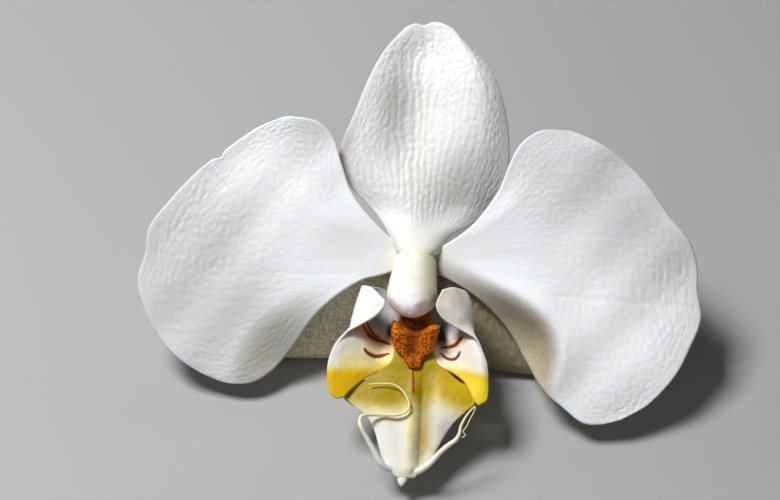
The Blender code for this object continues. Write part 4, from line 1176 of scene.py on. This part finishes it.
# %% Side lobes: their nets
LEFT_SIDE_LOBE = [
    [(-1.7, -16.5, 7.3), (-4.2, -17.3, 7.6), (-6.9, -18.7, 8.6), (-9.1, -20.5, 9.9),
     (-10.1, -21.6, 10.4), (-11.2, -22.0, 10.6)],
    [(-1.8, -15.8, 7.2), (-4.4, -16.8, 7.0), (-7.1, -17.4, 8.4), (-10.0, -19.3, 9.9),
     (-11.4, -20.6, 10.4), (-12.4, -21.1, 10.4)],
    [(-1.8, -15.1, 7.0), (-4.6, -15.7, 6.2), (-7.4, -16.1, 8.0), (-10.7, -17.5, 9.6),
     (-12.3, -18.5, 10.1), (-12.9, -18.9, 9.7)],
    [(-1.9, -14.2, 6.5), (-4.7, -14.5, 5.4), (-7.6, -14.4, 7.6), (-10.8, -15.1, 9.1),
     (-12.1, -15.8, 9.6), (-12.9, -16.4, 9.5)],
    [(-1.9, -13.1, 5.8), (-4.9, -13.0, 4.6), (-7.9, -12.4, 7.1), (-10.1, -12.6, 8.5),
     (-11.3, -13.3, 9.0), (-12.2, -14.1, 9.3)],
    [(-1.8, -11.7, 4.5), (-5.5, -10.9, 3.5), (-8.3, -10.9, 6.3), (-9.3, -11.2, 7.6),
     (-9.9, -11.5, 8.5), (-10.4, -11.8, 9.2)],
    [(-1.8, -10.4, 3.3), (-5.4, -9.0, 2.0), (-8.1, -9.3, 3.4), (-9.4, -9.7, 5.4), (-9.3, -10.1, 7.7),
     (-8.5, -10.6, 9.3)],
    [(-1.7, -9.0, 2.1), (-5.4, -7.3, 1.2), (-8.1, -7.4, 2.4), (-9.1, -7.8, 5.2), (-8.2, -8.3, 8.4),
     (-6.2, -9.2, 9.6)],
    [(-1.6, -7.9, 1.2), (-5.1, -5.7, 0.8), (-7.7, -5.6, 2.0), (-8.5, -5.8, 5.2), (-7.1, -6.4, 8.5),
     (-4.7, -7.6, 9.6)],
    [(-1.6, -7.3, 0.7), (-5.0, -4.9, 0.7), (-7.4, -4.6, 2.4), (-8.1, -4.4, 5.4), (-6.7, -4.6, 8.2),
     (-4.5, -6.5, 9.5)],
]
RIGHT_SIDE_LOBE = [
    [(2.7, -16.0, 7.3), (5.3, -16.7, 7.6), (8.0, -18.2, 8.8), (9.2, -19.8, 9.9), (9.8, -21.0, 10.4),
     (10.6, -21.9, 10.7)],
    [(2.7, -15.6, 7.2), (5.6, -16.1, 7.0), (8.2, -16.6, 8.4), (10.0, -18.5, 9.9), (11.0, -20.0, 10.5),
     (11.9, -20.9, 10.5)],
    [(2.6, -14.8, 6.9), (5.7, -15.2, 6.2), (8.2, -15.1, 8.0), (10.2, -16.4, 9.6), (11.3, -17.5, 10.1),
     (12.0, -18.1, 9.9)],
    [(2.6, -13.9, 6.4), (5.7, -14.0, 5.4), (8.1, -13.6, 7.7), (9.9, -14.1, 9.2), (11.0, -14.9, 9.7),
     (11.7, -15.5, 9.6)],
    [(2.5, -12.8, 5.7), (5.8, -12.4, 4.6), (8.0, -11.9, 7.1), (9.2, -12.2, 8.4), (10.1, -12.8, 9.0),
     (10.9, -13.5, 9.4)],
    [(2.4, -11.6, 4.5), (5.7, -10.8, 3.4), (8.2, -10.9, 6.0), (9.0, -11.1, 7.3), (9.5, -11.4, 8.3),
     (9.8, -11.7, 9.3)],
    [(2.3, -10.2, 3.2), (5.5, -8.9, 2.0), (8.0, -9.4, 3.4), (9.2, -9.8, 5.3), (9.1, -10.2, 7.6),
     (8.4, -10.9, 9.3)],
    [(2.1, -8.9, 2.0), (5.1, -7.1, 1.2), (7.5, -7.2, 2.4), (9.1, -7.7, 5.0), (7.8, -8.1, 8.2),
     (4.8, -9.1, 9.6)],
    [(2.0, -7.9, 1.2), (4.8, -5.7, 0.8), (6.9, -5.4, 2.0), (8.6, -5.8, 5.0), (6.4, -5.8, 8.3),
     (3.3, -6.9, 9.6)],
    [(2.0, -7.3, 0.7), (4.6, -4.8, 0.7), (6.4, -4.5, 2.4), (7.9, -4.5, 5.2), (5.9, -3.9, 7.6),
     (4.2, -4.3, 8.8)],
]
print("rows of points in a side lobe:", len(LEFT_SIDE_LOBE))

# %% [markdown]
# Inside, the wall of a side lobe gets a painted grey shade, the pocket beside the callus is painted near
# black as shade, and the right lobe's curled flap takes a painted olive shade. Dark red stripes cross the
# cream part below. The left lobe is creamier, and its stripes have a rust coloured haze round them.

# %% Side lobes: marks and growth
SIDE_LOBE_GRID = (170, 120)
SIDE_LOBE_THICKNESS = 0.5
SIDE_LOBE_RIM = 0.35
STRIPES_END = 0.72
LEFT_STRIPES = [
    ([(-8.1, -10.8), (-7.7, -11.6), (-7.0, -12.5), (-6.0, -13.1), (-4.7, -13.4), (-3.3, -13.8)], 0.3),
    ([(-7.5, -10.5), (-6.9, -11.6), (-6.1, -12.5), (-5.1, -12.9)], 0.24),
    ([(-7.6, -14.6), (-7.2, -15.2), (-6.3, -15.7), (-5.3, -15.8), (-4.3, -15.6), (-3.4, -15.3)], 0.34),
]
RIGHT_STRIPES = [
    ([(4.6, -13.9), (5.7, -13.8), (7.0, -13.4), (7.7, -12.7), (8.3, -11.9)], 0.30),
    ([(4.6, -14.8), (5.3, -15.4), (6.1, -15.7), (7.1, -15.6), (7.7, -15.0), (8.0, -14.3)], 0.28),
]
LEFT_YELLOW_EDGE = [(-13.5, -18.2), (-6.9, -17.7), (-3.8, -17.0)]
RIGHT_YELLOW_EDGE = [(4.8, -18.0), (7.0, -17.2), (12.6, -18.0)]
# Where each lobe's pocket is painted near black as shade: across, up and size.
LEFT_DARK_CORNER = (-3.4, -11.6, 0.9)
RIGHT_DARK_CORNER = (4.6, -12.0, 1.5)


def side_lobe_colours(s, u, a, f, stripes, yellow_edge, dark_corner, creamy):
    """What the finish needs to know at each point of a side lobe, as seen from the front."""
    marks = np.minimum.reduce([mark_distance(a, f, line, width) for line, width in stripes])
    haze = hump(mark_distance(a, f, stripes[0][0], half_width=1.0, taper=0.0), 0.0, 1.0)
    below = line_height(a, yellow_edge) - f
    low = ramp(below, -2.0, 1.4)
    high_edge = ramp(s, 0.6, 0.75) * ramp(u, 0.6, 0.75)
    belly = ramp(below, -7.0, -1.0) * (1 - ramp(u, 0.5, 0.8))
    across, up, size = dark_corner
    # The inner wall, which gets painted grey shade.
    inner = 0.9 * ramp(s, 0.42, 0.6)
    return {
        "yellow": np.maximum(low, creamy * 0.35 * ramp(below, -4.5, -0.5) * (1 - ramp(u, 0.6, 0.9))),
        "lemon": np.maximum(1 - low, (1 - creamy) * ramp(below, -0.5, 1.5)),
        # Olive on the lower yellow, and painted olive shade on the right lobe's curled flap.
        "olive_and_shade": np.maximum(0.3 * low * (1 - ramp(u, 0.3, 0.6)), 0.75 * (1 - creamy) * high_edge),
        "cream": creamy * belly,
        # Painted grey shade on the inner wall and in a trough near the front edge.
        "lip_shade": np.maximum(inner, 0.35 * hump(u, 0.84, 0.08) * hump(s, 0.3, 0.18)),
        "rust": 0.85 * creamy * haze,
        # Painted near black shade in the pocket beside the callus.
        "deep": hump(np.hypot(a - across, (f - up) / 1.5), 0.0, size),
        "stripe": np.where(u < STRIPES_END, marks, NO_STRIPE),
    }


def grow_side_lobe(name, net, seed, **looks):
    """One side lobe, from its net to its finished piece."""
    surface, s, u = net_grid(net, *SIDE_LOBE_GRID)
    values = side_lobe_colours(s, u, *seen(surface), **looks)
    growth = {**LIP_SMOOTH, "Seed": seed}
    piece = grow_blade(name, face_to_frame(surface), values, SIDE_LOBE_THICKNESS, SIDE_LOBE_RIM, growth)
    settle(piece, "lip")


grow_side_lobe("lip_side_lobe_left", LEFT_SIDE_LOBE, seed=31.0, stripes=LEFT_STRIPES,
               yellow_edge=LEFT_YELLOW_EDGE, dark_corner=LEFT_DARK_CORNER, creamy=1.0)
grow_side_lobe("lip_side_lobe_right", RIGHT_SIDE_LOBE, seed=37.0, stripes=RIGHT_STRIPES,
               yellow_edge=RIGHT_YELLOW_EDGE, dark_corner=RIGHT_DARK_CORNER, creamy=0.45)

# %% [markdown]
# Two thin tendrils grow from the lip's tip. The left one bends inwards over the lobe and ends in a thread.
# A curve object with a bevel could show them, but its thickness is the same for its whole length unless
# every point is scaled by hand. Here a tree turns a line of points into a round stem, and each point
# carries its own half thickness.

# %% Geometry tree: from a line to a stem
STEM_SIDES = 14


def grow_stem_tree():
    """A round stem along a line of points that carries its half thickness."""
    tree = bpy.data.node_groups.new("living_stem", "GeometryNodeTree")
    given, out = tree_inputs(tree, {"Sides": "Int", "Material": "Material"})
    line = add_node(tree, "GeometryNodeMeshToCurve", {"Mesh": given["Geometry"]}).outputs[0]
    sockets = {"Resolution": given["Sides"], "Radius": 1.0}
    ring = add_node(tree, "GeometryNodeCurvePrimitiveCircle", sockets).outputs[0]
    sockets = {"Curve": line, "Profile Curve": ring, "Scale": named(tree, "half"), "Fill Caps": True}
    stem = add_node(tree, "GeometryNodeCurveToMesh", sockets).outputs[0]
    finish_tree(tree, stem, given, out)
    return tree


STEM_TREE = grow_stem_tree()
print("stem tree inputs:", [item.name for item in STEM_TREE.interface.items_tree])

# %% Tendrils
LEFT_TENDRIL = [
    ((-0.9, -32.0, 11.5), 0.5), ((-2.4, -32.2, 12.3), 0.52), ((-3.9, -31.2, 13.2), 0.46),
    ((-5.1, -29.3, 13.5), 0.42), ((-6.4, -27.2, 13.8), 0.36), ((-7.3, -25.6, 14.0), 0.31),
    ((-7.5, -24.8, 13.2), 0.3), ((-6.9, -24.1, 12.6), 0.28), ((-4.5, -24.0, 11.6), 0.25),
    ((-2.1, -23.9, 11.5), 0.22), ((-0.6, -23.4, 11.4), 0.2), ((0.0, -22.4, 11.2), 0.18),
    ((-0.5, -21.1, 10.8), 0.15), ((-1.5, -19.9, 10.3), 0.13), ((-2.8, -19.3, 10.0), 0.12),
    ((-4.6, -19.3, 9.9), 0.11), ((-6.4, -19.5, 10.0), 0.09),
]
RIGHT_TENDRIL = [
    ((0.0, -32.2, 11.5), 0.5), ((1.6, -32.3, 12.3), 0.52), ((3.4, -31.0, 13.2), 0.46),
    ((4.8, -29.3, 13.4), 0.42), ((6.1, -28.0, 13.5), 0.38), ((7.3, -27.0, 13.6), 0.34),
    ((7.8, -26.0, 13.6), 0.28), ((8.0, -24.8, 13.5), 0.22), ((8.8, -23.2, 13.3), 0.16),
    ((9.9, -21.9, 13.0), 0.12), ((9.95, -22.4, 13.1), 0.08), ((9.3, -23.8, 13.5), 0.08),
    ((8.8, -24.9, 13.8), 0.08), ((8.35, -25.6, 13.9), 0.08), ((8.7, -26.2, 13.9), 0.08),
    ((8.2, -26.6, 14.0), 0.07),
]


def grow_tendril(name, stations, steps):
    """One tendril, white at the lip's tip and pale yellow towards its end."""
    along = np.linspace(0.0, 1.0, steps + 1)
    walked = spline([(*point, half) for point, half in stations], along)
    values = {
        "half": walked[:, 3] * MM, "cream": 0.8 * ramp(along, 0.15, 0.5),
        "yellow": 0.35 * ramp(along, 0.35, 0.7), "lemon": 1.0, "stripe": NO_STRIPE,
    }
    edges = [(k, k + 1) for k in range(steps)]
    line = mesh_object(name, face_to_frame(walked[:, :3]), edges, [], values)
    piece = run_tree(line, STEM_TREE, {"Sides": STEM_SIDES, "Material": LIP_FINISH})
    settle(piece, "lip")


grow_tendril("tendril_left", LEFT_TENDRIL, steps=220)
grow_tendril("tendril_right", RIGHT_TENDRIL, steps=200)

# %% [markdown]
# The rounded pieces are the callus, the column, the anther cap, the stalk, and the small tooth at the
# lip's tip. Each is closed from rings or from a grid. They could be sculpted from a ball, but rings keep
# to the measured widths. One more tree then gives every piece its fine skin.

# %% Geometry tree: skin of a rounded piece


def grow_skin_tree():
    """Grains and warts on a closed piece."""
    tree = bpy.data.node_groups.new("living_skin", "GeometryNodeTree")
    given, out = tree_inputs(tree, {
        "Grain Size": "Float", "Grain Height": "Float", "Seed": "Float", "Floor": "Float",
        "Material": "Material",
    })
    place = tree.nodes.new("GeometryNodeInputPosition").outputs[0]
    share = maths(tree, "DIVIDE", 1.0, given["Grain Size"])
    fine = add_node(tree, "ShaderNodeVectorMath", {0: place, "Scale": share}, operation="SCALE").outputs[0]
    shift = combine(tree, given["Seed"], 0.0, 0.0)
    moved = add_node(tree, "ShaderNodeVectorMath", {0: fine, 1: shift}).outputs[0]
    rough = maths(tree, "SUBTRACT", noise(tree, moved, 1.0), 0.5)
    skin = along_normal(tree, given["Geometry"], maths(tree, "MULTIPLY", rough, given["Grain Height"]))
    finish_tree(tree, above_floor(tree, skin, given["Floor"]), given, out)
    return tree


SKIN_TREE = grow_skin_tree()


def grow_skin(piece, size, height, seed, finish):
    """Run the skin tree on a closed piece, with the grain's size and height in millimetres."""
    inputs = {"Grain Size": size * MM, "Grain Height": height * MM, "Seed": seed, "Material": finish}
    return run_tree(piece, SKIN_TREE, {**inputs, "Floor": 0.0})


print("skin tree inputs:", [item.name for item in SKIN_TREE.interface.items_tree])

# %% Helpers for pieces made of rings


def ring_object(name, rings, values):
    """Close a row of rings into one piece, with its values stored on its points."""
    count, sides = rings.shape[:2]
    points = np.concatenate([rings.reshape(-1, 3), rings[:1].mean(axis=1), rings[-1:].mean(axis=1)])
    first, last = count * sides, count * sides + 1
    index = np.arange(count * sides).reshape(count, sides)
    around = np.hstack([index, index[:, :1]])
    faces = grid_faces(around).tolist()
    for low, high in zip(around[0, :-1].tolist(), around[0, 1:].tolist()):
        top = (count - 1) * sides
        faces += [(high, low, first), (top + low, top + high, last)]
    stored = {}
    for key, value in values.items():
        value = np.broadcast_to(value, (count, sides))
        stored[key] = np.concatenate([value.ravel(), [value[0].mean(), value[-1].mean()]])
    return mesh_object(name, points, [], faces, stored)


def level_rings(stations, count, sides):
    """Oval rings whose centres lie in one upright plane: (centre, half width, half depth)."""
    along = np.linspace(0.0, 1.0, count + 1)
    line = spline([(*centre, wide, deep) for centre, wide, deep in stations], along)
    centres, wide, deep = line[:, :3], line[:, 3, None, None], line[:, 4, None, None]
    tangents = np.gradient(centres, axis=0)
    tangents[:, 0] = 0.0
    tangents /= np.linalg.norm(tangents, axis=1, keepdims=True)
    across = np.array([1.0, 0.0, 0.0])
    up = np.cross(tangents, across)[:, None]
    angles = np.linspace(0.0, 2 * math.pi, sides, endpoint=False)
    turn = angles[None, :, None]
    rings = centres[:, None] + across * wide * np.cos(turn) + up * deep * np.sin(turn)
    return rings, along[:, None], angles[None]


print("corners of a ring of 8 sides:", level_rings([((0, 0, 0), 1, 1), ((0, 0, 1), 1, 1)], 1, 8)[0].shape)

# %% [markdown]
# The column is the white finger in the middle, and the anther cap closes its end with no seam to be seen.
# Both are smooth and a little glossy. Their right side is painted greener and darker, partly a green tint and
# partly painted shade where less light falls, and two soft peach marks lie on the cap.

# %% Column and anther cap: rings and finish
COLUMN_RINGS = [
    ((0.0, 0.0, -1.65), 2.9, 2.1), ((0.0, 0.0, -0.75), 3.1, 2.2), ((0.0, -0.2, 0.35), 3.25, 2.4),
    ((-0.1, -0.8, 1.5), 3.4, 2.65), ((-0.2, -1.9, 2.8), 3.5, 2.85), ((-0.3, -3.3, 4.1), 3.75, 2.9),
    ((-0.4, -4.85, 5.43), 3.92, 2.95),
]
CAP_RINGS = [
    ((-0.4, -4.8, 5.38), 3.92, 2.95), ((-0.4, -5.7, 6.2), 4.0, 3.0), ((-0.4, -6.4, 6.85), 3.75, 2.85),
    ((-0.4, -7.1, 7.45), 3.2, 2.5), ((-0.4, -7.7, 8.0), 2.3, 1.95), ((-0.4, -8.15, 8.4), 1.2, 1.2),
    ((-0.4, -8.4, 8.62), 0.15, 0.15),
]
COLUMN_CREAM = (0.79, 0.775, 0.68)
COLUMN_OLIVE_AND_SHADE = (0.42, 0.38, 0.17)
CAP_WHITE = (0.92, 0.90, 0.90)
CAP_PEACH = (0.66, 0.33, 0.22)
CAP_MARKS = [
    ([(0.4, -7.3), (1.2, -7.0), (2.0, -6.4)], 0.42), ([(-3.8, -6.4), (-3.2, -7.2), (-2.2, -7.8)], 0.3),
]


def column_finish(name, marked):
    """Smooth wax, whiter to the tip, greener and darker to the right, partly as painted shade, with marks
    where the mesh says so.
    """
    finish, tree, shader = new_finish(name, roughness=0.36, subsurface=0.3, depth=0.6)
    cell_skin(tree, shader, size=0.3, strength=0.15, height=0.03)
    colour = blend(tree, painted(tree, "tip"), COLUMN_CREAM, CAP_WHITE)
    # Right side: green tint and painted shade together.
    colour = blend(tree, painted(tree, "olive_and_shade"), colour, COLUMN_OLIVE_AND_SHADE)
    if marked:
        clouds = maths(tree, "SUBTRACT", patches(tree, size=1.2, detail=2.0), 0.5)
        peach = maths(tree, "MULTIPLY_ADD", clouds, 0.8, painted(tree, "stripe"))
        colour = blend(tree, maths(tree, "MULTIPLY", rise(tree, peach, 2.2, 0.1), 0.6), colour, CAP_PEACH)
    tree.links.new(colour, shader.inputs["Base Color"])
    return finish


print("rings given for the column and its cap:", len(COLUMN_RINGS), len(CAP_RINGS))

# %% Column and anther cap: growth
RING_SIDES = 72
COLUMN_STEPS = 70
CAP_STEPS = 80
CAP_SKIN = {"size": 1.5, "height": 0.12, "seed": 2.0}


def green_and_shaded_side(turn):
    """How much a ring takes the green and shaded colour: most on its right side, and none on its left."""
    return 0.8 * ramp(np.cos(turn), 0.0, 0.9)


def grow_column():
    """The column's finger."""
    rings, _, turn = level_rings(COLUMN_RINGS, COLUMN_STEPS, RING_SIDES)
    piece = ring_object("finger", face_to_frame(rings), {"olive_and_shade": green_and_shaded_side(turn), "tip": 0.0})
    piece = grow_skin(piece, finish=column_finish("column_cream", marked=False), **CAP_SKIN)
    settle(piece, "column")


def grow_cap():
    """The anther cap, with its two marks."""
    rings, along, turn = level_rings(CAP_RINGS, CAP_STEPS, RING_SIDES)
    a, f = seen(rings)
    marks = np.minimum.reduce([mark_distance(a, f, line, width) for line, width in CAP_MARKS])
    # The green and painted shade on the right side fades towards the cap's tip.
    olive_and_shade = green_and_shaded_side(turn) * (1 - ramp(along, 0.3, 0.7))
    values = {"olive_and_shade": olive_and_shade, "stripe": marks, "tip": ramp(along, 0.1, 0.6)}
    piece = ring_object("cap", face_to_frame(rings), values)
    piece = grow_skin(piece, finish=column_finish("anther_white", marked=True), **CAP_SKIN)
    settle(piece, "anther_cap")


grow_column()
grow_cap()

# %% [markdown]
# The callus sits on the claw: a warty golden cushion with two ears at its top and a groove along its
# middle. It is full of dark red spots, which come from a pattern of cells. Its groove and the middle of
# its upper edge are dark red brown. A sculpted lump would do, but it would miss the outline with its two
# ears. So the outline is filled as a petal's is, once for the upper face and once for the lower one, and
# a band joins the two.

# %% Callus: outline and finish
CALLUS = {
    "base": [(-0.6, -16.5), (0.4, -16.8), (1.5, -16.5)],
    "first": [(-0.6, -16.5), (-1.5, -15.1), (-2.8, -13.9), (-3.3, -12.2), (-3.5, -10.8), (-3.1, -9.6)],
    "second": [(1.5, -16.5), (2.1, -15.0), (3.3, -14.0), (3.8, -12.2), (4.2, -11.0), (4.3, -10.0)],
    "outer": [(-3.1, -9.6), (-2.3, -9.9), (-1.2, -10.7), (0.3, -11.1), (1.7, -10.7), (3.0, -9.9),
              (4.3, -10.0)],
}
CALLUS_SEAT = [(9.0, 3.55), (11.5, 5.15), (13.0, 6.5), (15.8, 7.9), (17.8, 8.5)]
CALLUS_ORANGE = (0.54, 0.12, 0.002)
CALLUS_GOLD = (0.68, 0.22, 0.003)
CALLUS_SPOT = (0.24, 0.035, 0.003)
CALLUS_GROOVE = (0.20, 0.045, 0.004)
SPOT_SPACING = 0.46
SPOT_WOBBLE = 0.25
SPOT_WOBBLE_SIZE = 0.3
SPOT_EDGE = (0.64, 0.52)


def callus_finish():
    """Golden orange with dark red brown spots."""
    finish, tree, shader = new_finish("callus_orange", roughness=0.55, subsurface=0.15, depth=0.3)
    shader.inputs["Specular IOR Level"].default_value = 0.12
    cell_skin(tree, shader, size=0.25, strength=0.4, height=0.05)
    golden = rise(tree, patches(tree, size=1.5, detail=2.0), 0.35, 0.65)
    colour = blend(tree, golden, CALLUS_ORANGE, CALLUS_GOLD)
    sockets = {"Vector": object_place(tree), "Scale": 1.0 / (SPOT_SPACING * MM)}
    cells = add_node(tree, "ShaderNodeTexVoronoi", sockets).outputs["Distance"]
    uneven = maths(tree, "MULTIPLY_ADD", patches(tree, SPOT_WOBBLE_SIZE, 1.0), SPOT_WOBBLE, cells)
    colour = blend(tree, rise(tree, uneven, *SPOT_EDGE), colour, CALLUS_SPOT)
    colour = blend(tree, painted(tree, "brown"), colour, CALLUS_GROOVE)
    tree.links.new(colour, shader.inputs["Base Color"])
    return finish


CALLUS_FINISH = callus_finish()
print("finish:", CALLUS_FINISH.name)

# %% Callus: growth
CALLUS_GRID = (90, 90)
CALLUS_TOP = 8.5
CALLUS_LEAST = 0.62
CALLUS_RIM = 0.7
GROOVE_DEPTH = 0.9


def callus_faces():
    """The upper and the lower face of the callus, as (a, f, n), and how brown each point is."""
    a, f, s, w = outline_grid(CALLUS, *CALLUS_GRID)
    down, height = np.array(CALLUS_SEAT).T
    seat = np.interp(-f, down, height)
    groove = GROOVE_DEPTH * hump(w, 0.0, 0.35) * ramp(s, 0.0, 0.5)
    top = CALLUS_TOP + 0.9 * ramp(s, 0.2, 1.0) - groove
    top = top - 0.35 * ramp(np.abs(w), 0.7, 1.0) - 0.6 * (1 - ramp(s, 0.0, 0.25))
    top = np.maximum(top, seat + CALLUS_LEAST)
    flat = np.stack([a, f, np.zeros_like(a)], axis=2) * MM
    swell = 2 * round_rim(flat, 1.0, CALLUS_RIM * MM)
    top = seat + (top - seat) * (0.02 + 0.98 * swell)
    brown = 0.85 * hump(w, 0.0, 0.28) * ramp(s, 0.02, 0.14)
    brown = brown + 0.4 * hump(w, 0.0, 0.5) * ramp(s, 0.75, 0.95)
    return [np.stack([a, f, level], axis=2) for level in (top, seat)], brown


def grow_callus():
    """The callus, closed from its two faces and a band round them."""
    sheets, brown = callus_faces()
    index = np.arange(brown.size).reshape(brown.shape)
    upper = grid_faces(index)
    under = upper[:, ::-1] + brown.size
    rim = np.concatenate([index[:-1, 0], index[-1, :-1], index[:0:-1, -1], index[0, :0:-1]])
    band = [(x, y, y + brown.size, x + brown.size) for x, y in zip(rim, np.roll(rim, -1))]
    points = np.concatenate([sheet.reshape(-1, 3) for sheet in sheets])
    faces = upper.tolist() + under.tolist() + band
    piece = mesh_object("callus", face_to_frame(points), [], faces, {"brown": np.tile(brown.ravel(), 2)})
    piece = grow_skin(piece, size=0.7, height=0.3, seed=4.0, finish=CALLUS_FINISH)
    settle(piece, "lip_callus")


grow_callus()

# %% [markdown]
# The small tooth at the lip's tip closes the root of the two tendrils. It is made of rings like the
# column, and takes the lip's own finish.

# %% Tooth
LIP_NUB = [
    ((-0.45, -32.2, 11.9), 0.9, 0.5), ((-0.5, -33.2, 12.3), 0.85, 0.5), ((-0.55, -33.9, 12.5), 0.66, 0.48),
    ((-0.6, -34.4, 12.6), 0.38, 0.34), ((-0.6, -34.62, 12.62), 0.06, 0.06),
]
NUB_STEPS = 30
NUB_SIDES = 32


def grow_nub():
    """The blunt tooth at the lip's tip."""
    rings, _, _ = level_rings(LIP_NUB, NUB_STEPS, NUB_SIDES)
    piece = ring_object("lip_nub", face_to_frame(rings), {"stripe": NO_STRIPE})
    piece = grow_skin(piece, size=0.9, height=0.1, seed=6.0, finish=LIP_FINISH)
    settle(piece, "lip")


grow_nub()

# %% [markdown]
# The stalk is out of sight behind the flower, but the flower rests on its cut end, and it shows from the
# sides. It starts white where the petals leave it, turns green, has shallow ribs, and ends in the cut
# that touches the floor. A bevelled curve would give a plain tube, and rings can be ribbed.

# %% Stalk
STALK = [
    (1.38, 16.87, 3.5), (1.75, 16.48, 3.3), (2.4, 15.8, 2.4), (3.4, 14.7, 1.85), (5.2, 12.8, 1.7),
    (8.0, 9.9, 1.75), (11.2, 6.9, 1.7), (14.6, 4.3, 1.55), (18.4, 2.3, 1.45), (22.4, 1.45, 1.42),
    (25.6, 1.42, 1.5),
]
STALK_GREEN = (0.36, 0.44, 0.14)
STALK_PALE = (0.80, 0.80, 0.68)
STALK_STEPS = 150
RIB_COUNT = 3
RIB_HEIGHT = 0.05
RIB_TWIST = 3.0


def stalk_finish():
    """Waxy green, white where the petals leave it."""
    finish, tree, shader = new_finish("stalk_green", roughness=0.45, subsurface=0.2, depth=0.5)
    cell_skin(tree, shader, size=0.4, strength=0.3, height=0.05)
    clouds = patches(tree, size=2.5, detail=3.0)
    green = maths(tree, "MULTIPLY_ADD", clouds, 0.25, painted(tree, "along"))
    colour = blend(tree, rise(tree, green, 0.16, 0.5), STALK_PALE, STALK_GREEN)
    tree.links.new(colour, shader.inputs["Base Color"])
    return finish


def grow_stalk():
    """The stalk, down to its cut end."""
    stations = [((0.0, -behind, height), radius, radius) for behind, height, radius in STALK]
    rings, along, turn = level_rings(stations, STALK_STEPS, RING_SIDES)
    centres = rings.mean(axis=1, keepdims=True)
    ribs = 1.0 + RIB_HEIGHT * np.cos(RIB_COUNT * turn + RIB_TWIST * along) * ramp(along, 0.1, 0.3)
    rings = centres + (rings - centres) * ribs[..., None]
    piece = ring_object("stalk", side_to_frame(rings), {"along": along})
    piece = grow_skin(piece, size=0.8, height=0.12, seed=7.0, finish=stalk_finish())
    settle(piece, "pedicel")


grow_stalk()

# %% [markdown]
# The last cell prints how many triangles the pieces have in all.

# %% Count the triangles
print("triangles in all:", sum(TRIANGLES.values()))
